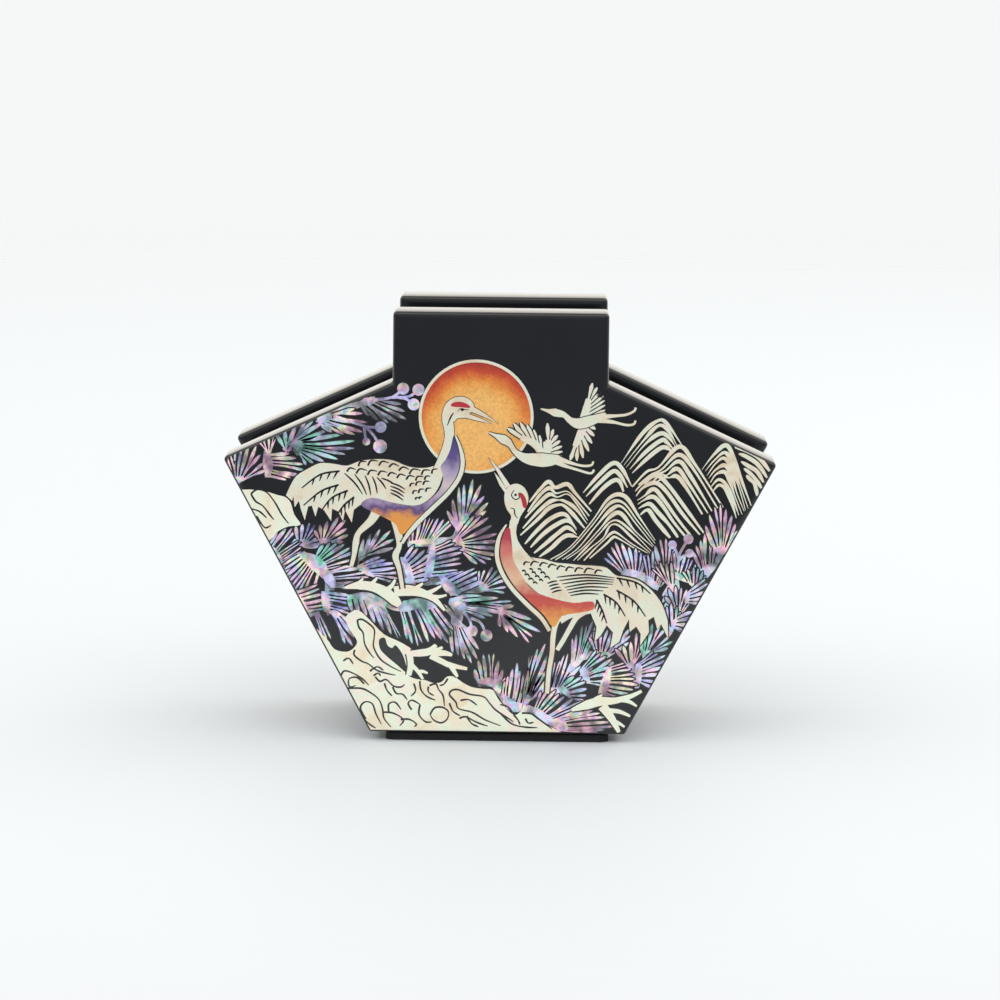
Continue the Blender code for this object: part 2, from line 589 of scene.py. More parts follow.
def polish(shader, roughness):
    """Everything in the picture lies under the same clear lacquer."""
    shader.inputs["Roughness"].default_value = roughness
    shader.inputs["Specular IOR Level"].default_value = 0.3
    shader.inputs["Coat Weight"].default_value = 1.0
    shader.inputs["Coat Roughness"].default_value = 0.04
    shader.inputs["Coat IOR"].default_value = 1.5


def pale_shell(name, stops, patch_size):
    """White mother-of-pearl: cream, with cloudy patches of mint and rose and a silky grain."""
    material, tree, shader, place = new_material(name)
    cloud = add_node(tree, "ShaderNodeTexNoise", Vector=place, Scale=per_mm(patch_size), Detail=3.0,
                     Distortion=0.8)
    colour = colour_ramp(tree, cloud.outputs["Fac"], stops)
    grain = add_node(tree, "ShaderNodeTexWave", {"bands_direction": "DIAGONAL"}, Vector=place,
                     Scale=per_mm(1.9), Distortion=9.0, Detail=2.0)
    shade = add_node(tree, "ShaderNodeMapRange", None, Value=grain.outputs["Fac"],
                     To_Min=0.985, To_Max=1.015)
    mix = add_node(tree, "ShaderNodeVectorMath", {"operation": "SCALE"}, in_0=colour,
                   Scale=shade.outputs["Result"])
    tree.links.new(mix.outputs["Vector"], shader.inputs["Base Color"])
    polish(shader, 0.35)
    return material


ABALONE = {
    "rose": [(0.0, "#7A5F70"), (0.18, "#CFA9C8"), (0.34, "#EFB3CE"), (0.5, "#F6C9D6"), (0.62, "#FAE6DC"),
             (0.71, "#F4EDBC"), (0.79, "#CBE9C8"), (0.89, "#C3D6F2"), (1.0, "#DCBCEC")],
    "teal": [(0.0, "#41746A"), (0.18, "#74BFA6"), (0.36, "#9BE0C6"), (0.5, "#BCEAE4"), (0.64, "#B6D6F2"),
             (0.78, "#C2BDEE"), (0.9, "#EAC2E2"), (1.0, "#F6E2E6")],
    "violet": [(0.0, "#555690"), (0.18, "#9496D4"), (0.36, "#BDB6EA"), (0.5, "#D6D0F4"),
               (0.62, "#CCE8F6"), (0.75, "#EEC6EA"), (0.88, "#F6BBD2"), (1.0, "#FAEAE6")],
    "grey": [(0.0, "#4E5054"), (0.3, "#7C7C82"), (0.5, "#95969B"), (0.7, "#AEA8B4"), (0.85, "#C6C0D0"),
             (1.0, "#B9D6CE")],
}

# What runs through every shade of abalone, so that one cut piece flows into the next
ABALONE_FIGURE = [(0.0, "#5F6F86"), (0.14, "#93B9C6"), (0.28, "#B5DDE2"), (0.4, "#BCB9E8"),
                  (0.52, "#D9B6E6"), (0.63, "#F2BBD4"), (0.73, "#F6DED8"), (0.82, "#DDE9CC"),
                  (0.91, "#A7D8C4"), (1.0, "#86BDBE")]


def abalone_shell(shade):
    """Abalone: one shade, with rainbow bands run through it and dark clouds deep in the shell."""
    material, tree, shader, place = new_material(shade + "_abalone")
    island = add_node(tree, "ShaderNodeNewGeometry").outputs["Random Per Island"]
    region = add_node(tree, "ShaderNodeTexNoise", Vector=place, Scale=per_mm(6), Detail=2.0,
                      Distortion=1.0)
    figure = add_node(tree, "ShaderNodeTexNoise", Vector=place, Scale=per_mm(2.6), Detail=1.5,
                      Distortion=1.6)
    spread = add_node(tree, "ShaderNodeMapRange", None, Value=region.outputs["Fac"],
                      From_Min=0.34, From_Max=0.66, To_Min=-0.12, To_Max=0.78)
    own = add_node(tree, "ShaderNodeMath", {"operation": "MULTIPLY_ADD"}, in_0=island, in_1=0.16,
                   in_2=spread.outputs["Result"])
    both = add_node(tree, "ShaderNodeMath", {"operation": "MULTIPLY_ADD"},
                    in_0=figure.outputs["Fac"], in_1=0.42, in_2=own.outputs[0])
    drift = add_node(tree, "ShaderNodeTexNoise", Vector=place, Scale=per_mm(3.6), Detail=3.0,
                     Distortion=0.8)
    share = add_node(tree, "ShaderNodeMapRange", {"interpolation_type": "SMOOTHSTEP"},
                     Value=drift.outputs["Fac"], From_Min=0.46, From_Max=0.62)
    blend = add_node(tree, "ShaderNodeMix", {"data_type": "RGBA"}, Factor=share.outputs["Result"])
    tree.links.new(colour_ramp(tree, both.outputs[0], ABALONE[shade]), blend.inputs["A"])
    tree.links.new(colour_ramp(tree, both.outputs[0], ABALONE_FIGURE), blend.inputs["B"])
    depth = add_node(tree, "ShaderNodeTexNoise", Vector=place, Scale=per_mm(3.4), Detail=2.0)
    cloud = add_node(tree, "ShaderNodeMapRange", None, Value=depth.outputs["Fac"], From_Min=0.34,
                     From_Max=0.58, To_Min=0.3, To_Max=1.08)
    mix = add_node(tree, "ShaderNodeVectorMath", {"operation": "SCALE"}, in_0=blend.outputs["Result"],
                   Scale=cloud.outputs["Result"])
    tree.links.new(mix.outputs["Vector"], shader.inputs["Base Color"])
    polish(shader, 0.25)
    shader.inputs["Metallic"].default_value = 0.1
    return material


def engraved_lacquer():
    """Lines cut through the shell and filled with the ground's black lacquer."""
    material, tree, shader, place = new_material("engraved_lacquer")
    cloud = add_node(tree, "ShaderNodeTexNoise", Vector=place, Scale=per_mm(2), Detail=2.0)
    colour = colour_ramp(tree, cloud.outputs["Fac"], [(0.3, "#101113"), (0.7, "#1B1B1E")])
    tree.links.new(colour, shader.inputs["Base Color"])
    polish(shader, 0.3)
    return material


TINT_WOBBLE = 0.25


def tinted_lacquer(name, low, high, stops):
    """Clear lacquer tinted by hand, one colour run into the next from a low to a high place."""
    material, tree, shader, place = new_material(name)
    parts = add_node(tree, "ShaderNodeSeparateXYZ", Vector=place)
    up = add_node(tree, "ShaderNodeMapRange", None, Value=parts.outputs["Z"],
                  From_Min=BOARD_BOTTOM + low * MM, From_Max=BOARD_BOTTOM + high * MM)
    cloud = add_node(tree, "ShaderNodeTexNoise", Vector=place, Scale=per_mm(2.2), Detail=4.0)
    shift = add_node(tree, "ShaderNodeMath", {"operation": "MULTIPLY_ADD"}, in_0=cloud.outputs["Fac"],
                     in_1=TINT_WOBBLE, in_2=up.outputs["Result"])
    settle = add_node(tree, "ShaderNodeMath", {"operation": "SUBTRACT"}, in_0=shift.outputs[0],
                      in_1=TINT_WOBBLE / 2)
    colour = colour_ramp(tree, settle.outputs[0], stops)
    tree.links.new(colour, shader.inputs["Base Color"])
    polish(shader, 0.4)
    return material


# The sun in millimetres. Its amber turns red between two distances from its middle, sooner towards the
# top, along an edge that is worn uneven.
SUN_CENTRE = Vector((-5.2, 69.4))
SUN_RADIUS = 12.4
SUN_RING = 0.62
SUN_REDDENS = (8, 17.5)
SUN_UPWARDS = 0.34
SUN_WEAR = 3.5
SUN_STEPS = 64
SUN_COLOURS = [(0.0, "#F2B868"), (0.35, "#EBA04A"), (0.55, "#DC7830"), (0.75, "#C24424"),
               (1.0, "#A32C1E")]


def sun_lacquer():
    """Amber lacquer over shell, stippled with gold, and rubbed with red towards the upper rim."""
    material, tree, shader, place = new_material("amber_lacquer")
    middle = (SUN_CENTRE.x * MM, 0, BOARD_BOTTOM + SUN_CENTRE.y * MM)
    offset = add_node(tree, "ShaderNodeVectorMath", {"operation": "SUBTRACT"}, in_0=place, in_1=middle)
    flat = add_node(tree, "ShaderNodeVectorMath", {"operation": "MULTIPLY"},
                    in_0=offset.outputs["Vector"], in_1=(1, 0, 1))
    out = add_node(tree, "ShaderNodeVectorMath", {"operation": "LENGTH"}, in_0=flat.outputs["Vector"])
    parts = add_node(tree, "ShaderNodeSeparateXYZ", Vector=flat.outputs["Vector"])
    high = add_node(tree, "ShaderNodeMath", {"operation": "MULTIPLY_ADD"}, in_0=parts.outputs["Z"],
                    in_1=SUN_UPWARDS, in_2=out.outputs["Value"])
    wear = add_node(tree, "ShaderNodeTexNoise", Vector=place, Scale=per_mm(SUN_WEAR), Detail=4.0)
    worn = add_node(tree, "ShaderNodeMath", {"operation": "MULTIPLY_ADD"}, in_0=wear.outputs["Fac"],
                    in_1=SUN_WEAR * MM, in_2=high.outputs[0])
    reach = add_node(tree, "ShaderNodeMapRange", None, Value=worn.outputs[0],
                     From_Min=SUN_REDDENS[0] * MM, From_Max=SUN_REDDENS[1] * MM)
    colour = colour_ramp(tree, reach.outputs["Result"], SUN_COLOURS)
    stipple = add_node(tree, "ShaderNodeTexNoise", Vector=place, Scale=per_mm(0.55), Detail=3.0)
    shade = add_node(tree, "ShaderNodeMapRange", None, Value=stipple.outputs["Fac"], From_Min=0.3,
                     From_Max=0.7, To_Min=0.84, To_Max=1.1)
    mix = add_node(tree, "ShaderNodeVectorMath", {"operation": "SCALE"}, in_0=colour,
                   Scale=shade.outputs["Result"])
    tree.links.new(mix.outputs["Vector"], shader.inputs["Base Color"])
    polish(shader, 0.4)
    return material


# Sun

def draw_sun(ring, glow):
    disc(ring, SUN_CENTRE, SUN_RADIUS, over(), SUN_STEPS)
    disc(glow, SUN_CENTRE, SUN_RADIUS - SUN_RING, over(), SUN_STEPS)


# Mountains: families of strokes that swell over a peak and run down to their feet. Each family is how
# many strokes it has, the outermost and the innermost.
MOUNTAINS = [
    (5, [(6.5, 50.9), (8.6, 53.8), (10.6, 55.4), (12.2, 54.2), (14.6, 54.8), (16.6, 53.1), (20.1, 48.9)],
     [(4.8, 43.6), (8.3, 47.4), (11.0, 49.8), (12.9, 50.3), (14.4, 50.2), (16.2, 48.6), (18.4, 45.6)]),
    (4, [(5.6, 41.8), (8.5, 44.8), (11.4, 47.4), (14.4, 48.4), (16.9, 45.4)],
     [(8.8, 39.0), (11.2, 41.0), (13.4, 42.8), (15.2, 44.0), (17.0, 43.2)]),
    (3, [(18.2, 53.3), (21.4, 56.8), (24.6, 59.4), (26.2, 58.5), (28.6, 54.9)],
     [(19.6, 50.8), (22.2, 53.8), (24.6, 56.0), (25.8, 55.8), (27.0, 53.6)]),
    (5, [(26.1, 59.7), (30.8, 66.2), (34.0, 69.2), (36.0, 68.2), (39.0, 63.8)],
     [(28.6, 57.6), (31.8, 60.7), (34.9, 63.0), (36.1, 62.8), (37.2, 62.0)]),
    (5, [(28.6, 54.5), (31.8, 57.7), (34.5, 58.8), (38.9, 63.4), (42.1, 59.9), (48.3, 50.3)],
     [(34.2, 55.6), (35.6, 56.8), (36.8, 56.9), (38.2, 57.2), (40.2, 54.6), (44.0, 48.6)]),
    (7, [(43.9, 58.7), (46.1, 61.9), (48.6, 64.0), (50.6, 61.6), (52.2, 56.4), (54.4, 50.7)],
     [(46.3, 54.0), (47.3, 55.0), (48.4, 54.6), (49.4, 52.8), (50.4, 50.6), (51.4, 48.0)]),
    (5, [(50.8, 63.3), (53.2, 62.7), (55.8, 61.2), (58.4, 58.4)],
     [(53.4, 57.4), (54.2, 56.6), (55.0, 55.2), (55.8, 53.0)]),
    (8, [(11.2, 38.3), (15.2, 41.4), (19.9, 47.1), (23.9, 52.2), (27.0, 52.6), (30.3, 48.0),
         (34.0, 42.8)],
     [(19.6, 38.6), (21.6, 40.6), (23.4, 42.2), (24.4, 43.2), (25.6, 43.2), (28.6, 41.4), (32.2, 39.2)]),
    (6, [(29.2, 53.4), (31.0, 55.3), (33.8, 57.2), (36.6, 55.0), (40.7, 49.6), (44.8, 44.4)],
     [(30.6, 48.6), (31.6, 49.4), (32.6, 49.2), (33.8, 47.8), (35.6, 45.6), (37.2, 43.4)]),
]
STROKE_PROFILE = [0.3, 0.8, 1.0, 1.0, 1.0, 0.95, 0.5]
STROKE_WIDTH = 0.92
STROKE_GAP = 0.48
STROKE_WOBBLE = (0.2, 0.28)


def draw_mountains(shell):
    for count, outer, inner in MOUNTAINS:
        strokes = []
        for index in range(count):
            share = index / (count - 1)
            stroke = []
            for start, end in zip(points_of(outer), points_of(inner)):
                wobble = Vector([random.uniform(-reach, reach) for reach in STROKE_WOBBLE])
                stroke.append(start.lerp(end, share) + wobble)
            strokes.append(smooth(stroke, 6))
        for index, stroke in enumerate(strokes):
            last = len(stroke) - 1
            widths = fitted_widths(strokes, index, STROKE_WIDTH, STROKE_GAP)
            widths = [width * along(STROKE_PROFILE, step / last) for step, width in enumerate(widths)]
            ribbon(shell, stroke, widths, over())


# Pine: each fan is the shade of abalone that it is cut from, how many needles it has, the twig they
# spring from and the curve of their tips
PINE_FANS = [
    ("rose", 9, [(-57.4, 54.6), (-55.6, 54.8)],
     [(-58.8, 59.6), (-57.2, 60.6), (-54.4, 62.4), (-51.9, 60.4), (-51.0, 57.0)]),
    ("rose", 5, [(-50.4, 61.2), (-49.8, 60.6)], [(-52.0, 63.2), (-50.0, 64.2), (-48.2, 64.8)]),
    ("rose", 7, [(-50.4, 60.6), (-50.2, 56.0)],
     [(-45.6, 60.9), (-43.0, 58.6), (-43.4, 56.2), (-46.4, 55.2)]),
    ("teal", 15, [(-46.4, 61.6), (-44.6, 63.6), (-43.6, 61.2)],
     [(-48.4, 65.0), (-44.2, 66.8), (-40.4, 68.0), (-36.8, 66.4), (-32.0, 63.8), (-33.0, 60.8),
      (-38.0, 59.2), (-42.0, 58.6)]),
    ("rose", 7, [(-39.2, 67.8), (-37.6, 69.2)],
     [(-36.2, 65.6), (-33.0, 65.4), (-29.8, 65.8), (-29.6, 69.0), (-31.4, 70.8)]),
    ("grey", 7, [(-30.4, 71.6), (-27.4, 73.2)],
     [(-28.4, 69.4), (-24.0, 67.6), (-20.6, 68.8), (-21.8, 72.0)]),
    ("teal", 7, [(-50.6, 41.0), (-47.6, 37.4)],
     [(-49.2, 43.4), (-46.4, 44.2), (-43.6, 44.6), (-43.2, 41.6)]),
    ("violet", 6, [(-43.4, 41.6), (-41.4, 41.4)],
     [(-44.0, 44.8), (-41.6, 45.4), (-39.6, 45.2), (-38.4, 42.8)]),
    ("rose", 8, [(-38.8, 41.8), (-36.8, 41.6)],
     [(-40.0, 44.2), (-37.6, 46.2), (-34.2, 46.6), (-32.8, 44.4), (-33.6, 41.8)]),
    ("teal", 7, [(-48.6, 38.4), (-46.6, 34.8)], [(-43.6, 41.8), (-43.0, 39.4), (-42.2, 37.6)]),
    ("teal", 8, [(-39.8, 38.2), (-38.0, 35.6)],
     [(-38.0, 41.2), (-34.6, 41.4), (-31.8, 39.8), (-32.2, 36.6)]),
    ("rose", 10, [(-42.6, 39.2), (-38.8, 35.2)],
     [(-46.6, 36.6), (-45.2, 33.2), (-43.4, 30.6), (-40.0, 30.2)]),
    ("violet", 7, [(-37.6, 35.0), (-36.0, 31.8)],
     [(-31.6, 36.6), (-28.2, 35.2), (-28.4, 33.0), (-32.4, 31.6)]),
    ("rose", 6, [(-44.6, 30.4), (-41.4, 26.4)], [(-39.0, 32.4), (-38.2, 29.6), (-37.6, 27.0)]),
    ("violet", 6, [(-37.8, 30.6), (-37.4, 26.6)], [(-32.4, 30.0), (-31.2, 27.4), (-33.2, 25.4)]),
    ("rose", 3, [(-39.8, 25.4), (-38.8, 25.8)], [(-38.2, 20.6), (-36.4, 20.6)]),
    ("violet", 4, [(-36.0, 25.6), (-35.0, 26.4)], [(-33.2, 19.4), (-31.2, 19.6), (-31.0, 22.6)]),
    ("grey", 6, [(-30.4, 36.4), (-29.4, 38.6)],
     [(-29.4, 42.0), (-26.4, 44.6), (-23.6, 43.4), (-22.8, 40.6)]),
    ("violet", 7, [(-30.2, 36.6), (-27.8, 34.4)],
     [(-25.6, 38.6), (-22.8, 37.2), (-21.6, 35.2), (-22.2, 32.8)]),
    ("rose", 10, [(-19.4, 41.4), (-14.2, 42.2)],
     [(-19.6, 45.2), (-16.0, 46.8), (-13.2, 47.2), (-9.4, 46.8)]),
    ("rose", 9, [(-9.0, 44.6), (-7.6, 47.2), (-6.8, 46.4)],
     [(-11.4, 49.0), (-9.2, 52.6), (-7.4, 55.2), (-4.4, 54.6), (-2.8, 51.6), (-3.0, 48.8)]),
    ("rose", 11, [(-9.4, 42.8), (-8.4, 40.4)],
     [(-5.4, 47.8), (-2.4, 47.4), (-1.0, 43.8), (-0.4, 40.8), (-1.4, 38.2), (-4.6, 37.2)]),
    ("violet", 8, [(-20.6, 38.0), (-18.8, 33.2)],
     [(-18.6, 41.0), (-15.6, 40.0), (-14.6, 37.0), (-15.2, 33.8)]),
    ("violet", 8, [(-14.4, 40.6), (-15.4, 34.4)],
     [(-10.4, 42.4), (-8.6, 40.4), (-8.0, 37.8), (-9.2, 34.8)]),
    ("violet", 6, [(-12.6, 34.6), (-9.6, 30.8)], [(-8.8, 35.4), (-5.0, 36.0), (-2.8, 33.8)]),
    ("teal", 8, [(-4.2, 33.0), (-2.4, 31.4)], [(-4.2, 35.6), (-1.0, 36.4), (1.6, 34.4), (1.4, 31.0)]),
    ("teal", 7, [(-9.8, 29.6), (-8.4, 27.2)], [(-3.2, 30.2), (2.4, 29.2), (1.0, 26.6), (-2.8, 25.4)]),
    ("rose", 8, [(0.6, 27.8), (0.2, 26.6)],
     [(3.4, 28.2), (8.8, 23.2), (7.0, 20.8), (3.6, 21.8), (0.4, 23.6)]),
    ("violet", 7, [(-10.0, 25.0), (-8.0, 24.4)],
     [(-9.8, 18.2), (-7.8, 16.4), (-5.8, 15.8), (-4.2, 17.4), (-5.0, 21.6)]),
    ("teal", 8, [(-32.4, 29.8), (-28.4, 29.8), (-25.0, 28.0)],
     [(-31.8, 26.8), (-29.0, 26.0), (-26.0, 23.6), (-22.9, 21.6), (-21.2, 21.2)]),
    ("teal", 10, [(-21.6, 27.6), (-18.4, 28.4), (-14.2, 28.4)],
     [(-19.8, 20.8), (-17.6, 19.2), (-15.8, 20.2), (-13.4, 21.4), (-10.8, 20.2), (-9.8, 22.8)]),
    ("rose", 8, [(-4.2, 11.4), (-1.2, 11.4), (0.6, 9.2)],
     [(-5.0, 14.2), (-3.4, 17.2), (-1.4, 17.4), (0.4, 15.4), (1.8, 12.4)]),
    ("rose", 8, [(1.2, 8.4), (3.2, 5.8), (5.2, 6.0)],
     [(1.6, 11.4), (3.6, 14.8), (5.4, 13.4), (7.0, 10.4)]),
    ("rose", 8, [(5.4, 6.0), (7.2, 7.4)],
     [(6.8, 16.6), (8.4, 18.8), (10.4, 18.2), (10.8, 13.6), (10.4, 10.2)]),
    ("violet", 9, [(11.4, 9.4), (13.2, 8.6)],
     [(11.4, 14.6), (13.6, 16.4), (15.4, 18.2), (17.6, 14.6), (18.6, 12.2)]),
    ("teal", 7, [(15.8, 14.4), (18.8, 17.2)], [(16.2, 21.0), (18.2, 23.4), (20.4, 24.6), (22.0, 23.4)]),
    ("violet", 9, [(21.6, 17.4), (24.2, 17.4)],
     [(19.8, 21.6), (22.4, 23.0), (25.4, 23.6), (28.6, 23.4), (28.6, 20.6)]),
    ("teal", 8, [(18.2, 14.6), (19.8, 11.4)], [(21.2, 18.4), (24.0, 17.2), (24.0, 14.0), (23.2, 10.8)]),
    ("teal", 6, [(13.8, 10.4), (15.8, 8.2)], [(16.6, 12.8), (18.8, 12.0), (19.2, 9.6), (18.6, 7.6)]),
    ("violet", 9, [(8.0, 5.4), (11.4, 2.6)],
     [(9.4, 9.2), (12.4, 9.4), (14.6, 8.4), (18.0, 7.2), (18.4, 5.4)]),
    ("rose", 8, [(12.8, 3.4), (14.2, 0.8)], [(19.2, 5.6), (23.0, 4.6), (25.2, 2.2), (22.4, 0.6)]),
    ("rose", 10, [(24.2, 14.8), (22.6, 9.0)], [(27.8, 16.0), (29.8, 13.6), (29.8, 10.0), (27.6, 7.4)]),
    ("rose", 6, [(28.4, 15.0), (30.0, 16.4)], [(25.8, 18.6), (28.4, 20.4), (30.4, 22.2), (32.2, 20.8)]),
    ("teal", 8, [(31.6, 17.4), (33.0, 18.2)],
     [(31.4, 21.8), (33.2, 24.6), (35.8, 24.2), (37.4, 21.6), (37.2, 19.4)]),
    ("violet", 8, [(30.4, 15.8), (30.8, 11.8)], [(33.6, 18.4), (36.2, 17.2), (35.4, 14.0), (33.6, 10.6)]),
    ("violet", 10, [(26.8, 35.6), (31.0, 35.4)],
     [(22.8, 39.0), (24.6, 41.6), (27.4, 41.6), (30.6, 40.4), (32.0, 38.8)]),
    ("violet", 7, [(32.4, 34.2), (34.6, 32.4)], [(31.4, 39.4), (33.4, 40.0), (35.2, 38.2), (36.4, 36.0)]),
    ("violet", 6, [(35.4, 36.4), (37.0, 36.4)], [(33.8, 41.8), (35.8, 43.4), (37.4, 41.6), (38.4, 39.6)]),
    ("violet", 7, [(38.0, 35.4), (41.6, 34.0)], [(38.0, 40.2), (40.4, 39.6), (42.0, 38.8), (43.2, 36.8)]),
    ("rose", 7, [(44.0, 36.0), (46.2, 36.8)], [(42.0, 40.6), (43.6, 43.4), (45.6, 44.8), (47.2, 43.6)]),
    ("rose", 8, [(47.4, 40.4), (49.0, 40.6)],
     [(44.8, 46.0), (46.4, 49.6), (48.4, 50.8), (50.6, 48.2), (51.6, 45.2)]),
    ("teal", 5, [(37.2, 33.6), (39.0, 30.2)], [(35.6, 30.6), (36.0, 27.8), (38.8, 26.2)]),
    ("rose", 6, [(41.4, 33.6), (43.6, 31.8)], [(40.0, 36.0), (42.8, 37.4), (44.8, 35.2)]),
    ("teal", 7, [(38.6, 27.6), (39.8, 26.8)], [(36.0, 30.8), (38.4, 33.0), (40.8, 32.0), (42.0, 29.8)]),
    ("violet", 6, [(37.0, 22.4), (38.2, 23.8)], [(35.2, 26.6), (37.0, 28.8), (39.6, 27.4)]),
    ("teal", 5, [(41.0, 31.6), (40.8, 29.4)], [(44.8, 34.6), (44.9, 31.8), (43.8, 29.2)]),
    ("violet", 5, [(36.6, 33.4), (37.8, 32.4)], [(33.4, 36.6), (35.0, 38.0), (37.4, 37.6)]),
    ("violet", 4, [(38.4, 25.6), (38.0, 24.0)], [(42.0, 27.4), (41.6, 25.2), (40.2, 23.0)]),
]
NEEDLE_WIDTH = 0.98
NEEDLE_GAP = 0.34
NEEDLE_PROFILE = [1.0, 1.0, 1.0, 1.0, 1.0, 0.98, 0.92, 0.8, 0.55, 0.12]
NEEDLE_REACH = (0.94, 1.1)
NEEDLE_BEND = 0.04
NEEDLE_STEPS = 5
LINE_SPREAD = 1.7
LINE_END = 0.3

# The web that joins a fan's needles: how far along them it comes, how far behind the twig they start,
# and the step from which lines part them
WEB_REACH = 0.27
WEB_BEHIND = 0.12
WEB_STEPS = 3

# The stems that join the fans into one plant: a width, and the line each follows
PINE_STEMS = [
    (2.6, [(-50.2, 62.0), (-50.2, 55.6)]),
    (2.4, [(-46.6, 61.4), (-44.6, 62.8), (-43.4, 60.6)]),
    (2.0, [(-39.6, 67.6), (-36.6, 69.6), (-32.0, 71.2), (-27.0, 73.2)]),
    (3.0, [(-49.4, 40.0), (-47.6, 37.6), (-45.0, 33.0), (-42.6, 29.0), (-40.2, 25.4)]),
    (2.6, [(-43.4, 41.6), (-40.6, 41.2), (-37.6, 42.0)]),
    (2.8, [(-42.8, 38.8), (-39.4, 37.6), (-38.4, 35.4), (-36.6, 33.4), (-36.8, 29.6), (-36.6, 25.6)]),
    (2.2, [(-30.4, 36.2), (-27.2, 34.8)]),
    (1.8, [(-32.2, 29.8), (-28.6, 30.2), (-25.4, 28.8), (-21.6, 27.4), (-18.6, 28.8), (-14.6, 28.8),
           (-11.0, 27.2), (-9.2, 24.6)]),
    (2.4, [(-19.8, 41.4), (-14.2, 42.0), (-9.6, 42.6), (-8.4, 47.0)]),
    (2.6, [(-14.2, 41.6), (-14.8, 38.2), (-15.0, 34.6)]),
    (2.8, [(-20.6, 38.6), (-20.2, 35.0), (-18.6, 33.4), (-12.4, 33.6), (-9.8, 31.4), (-4.0, 31.8),
           (-2.4, 32.4)]),
    (2.4, [(-10.4, 29.0), (-8.6, 26.8), (-8.8, 23.4)]),
    (2.0, [(-8.6, 28.0), (-4.0, 27.4), (1.2, 27.2)]),
    (2.2, [(-4.2, 10.8), (-1.0, 10.9), (1.0, 8.6), (3.2, 5.8), (5.6, 5.8), (8.2, 4.8), (11.6, 2.6),
           (13.6, 1.4)]),
    (2.4, [(11.4, 9.4), (13.4, 9.6), (15.8, 10.6), (19.0, 13.0), (20.4, 16.0)]),
    (2.6, [(13.6, 10.6), (16.2, 14.6), (18.4, 17.4), (23.6, 17.4)]),
    (2.4, [(24.6, 16.2), (24.2, 12.0), (22.8, 8.2)]),
    (2.2, [(28.6, 15.4), (30.0, 14.0), (30.4, 10.4)]),
    (2.0, [(31.4, 17.6), (34.0, 19.0)]),
    (2.2, [(26.6, 35.2), (31.2, 35.0), (34.2, 32.4)]),
    (2.2, [(34.6, 33.0), (36.4, 36.0)]),
    (2.4, [(38.4, 34.4), (38.6, 30.2), (38.8, 27.0)]),
    (2.2, [(42.0, 33.6), (44.8, 35.6), (48.2, 40.0)]),
]
STEM_PROFILE = [0.5, 0.8, 0.8, 0.4]
STEM_STEPS = 5


def draw_fan(shell, gaps, twig, tips, count):
    """Needles that are joined in a web along their twig, and parted by engraved lines beyond it."""
    needles = []
    for index in range(count):
        share = index / (count - 1)
        tip = along(twig, share).lerp(along(tips, share), random.uniform(*NEEDLE_REACH))
        root = along(twig, share).lerp(tip, -WEB_BEHIND)
        across = Vector(((root - tip).y, (tip - root).x))
        middle = root.lerp(tip, 0.5) + across * random.uniform(-NEEDLE_BEND, NEEDLE_BEND)
        needles.append(smooth([root, middle, tip], NEEDLE_STEPS))
    line_height = over()
    needle_height = over()
    for index, needle in enumerate(needles):
        last = len(needle) - 1
        widths = fitted_widths(needles, index, NEEDLE_WIDTH, NEEDLE_GAP)
        widths = [width * along(NEEDLE_PROFILE, step / last) for step, width in enumerate(widths)]
        ribbon(shell, needle, widths, needle_height)
        beyond = needle[-1] + (needle[-1] - needle[-2]).normalized() * NEEDLE_GAP
        line_widths = [width + LINE_SPREAD * NEEDLE_GAP for width in widths[WEB_STEPS:]]
        ribbon(gaps, needle[WEB_STEPS:] + [beyond], line_widths + [LINE_END], line_height)
    web = [along(needle, WEB_REACH) for needle in needles]
    shell.patch([needle[0] for needle in needles] + web[::-1], over())


def draw_pine(sheets):
    for width, stem in PINE_STEMS:
        widths = [width * share for share in STEM_PROFILE]
        ribbon(sheets["grey_needles"], smooth(stem, STEM_STEPS), widths, over())
    for shade, count, twig, tips in PINE_FANS:
        shell = sheets[shade + "_needles"]
        draw_fan(shell, sheets["needle_gaps"], points_of(twig), smooth(tips, 6), count)


# Berries: the size of each, and its stalk
BERRIES = [
    (1.3, [(-27.4, 72.8), (-23.4, 73.4), (-21.0, 75.3)]),
    (1.3, [(-23.4, 73.4), (-19.8, 73.6), (-17.7, 75.1)]),
    (1.3, [(-21.8, 73.4), (-20.2, 73.0), (-18.7, 71.9)]),
    (1.25, [(-36.0, 69.2), (-31.6, 67.8), (-28.6, 66.9), (-25.8, 66.9)]),
    (1.5, [(-29.2, 67.0), (-27.4, 65.2), (-25.9, 62.7)]),
    (0.85, [(-29.4, 67.0), (-29.2, 65.4), (-28.9, 63.7)]),
    (1.1, [(38.8, 36.5), (39.2, 40.0), (41.0, 43.3)]),
    (0.95, [(39.0, 38.8), (38.4, 40.6), (37.6, 42.0)]),
    (0.95, [(39.0, 38.6), (40.0, 39.6), (41.3, 40.2)]),
    (1.2, [(-7.6, 26.8), (-6.2, 25.0), (-5.6, 22.6)]),
    (1.3, [(-6.0, 25.4), (-3.8, 24.4), (-2.5, 21.6)]),
]
STALK_WIDTHS = [0.7, 0.55, 0.6]
BERRY_STEPS = 20


def draw_berries(shell):
    for size, stalk in BERRIES:
        ribbon(shell, smooth(stalk, 4), STALK_WIDTHS, over())
        disc(shell, Vector(stalk[-1]), size, over(), BERRY_STEPS)


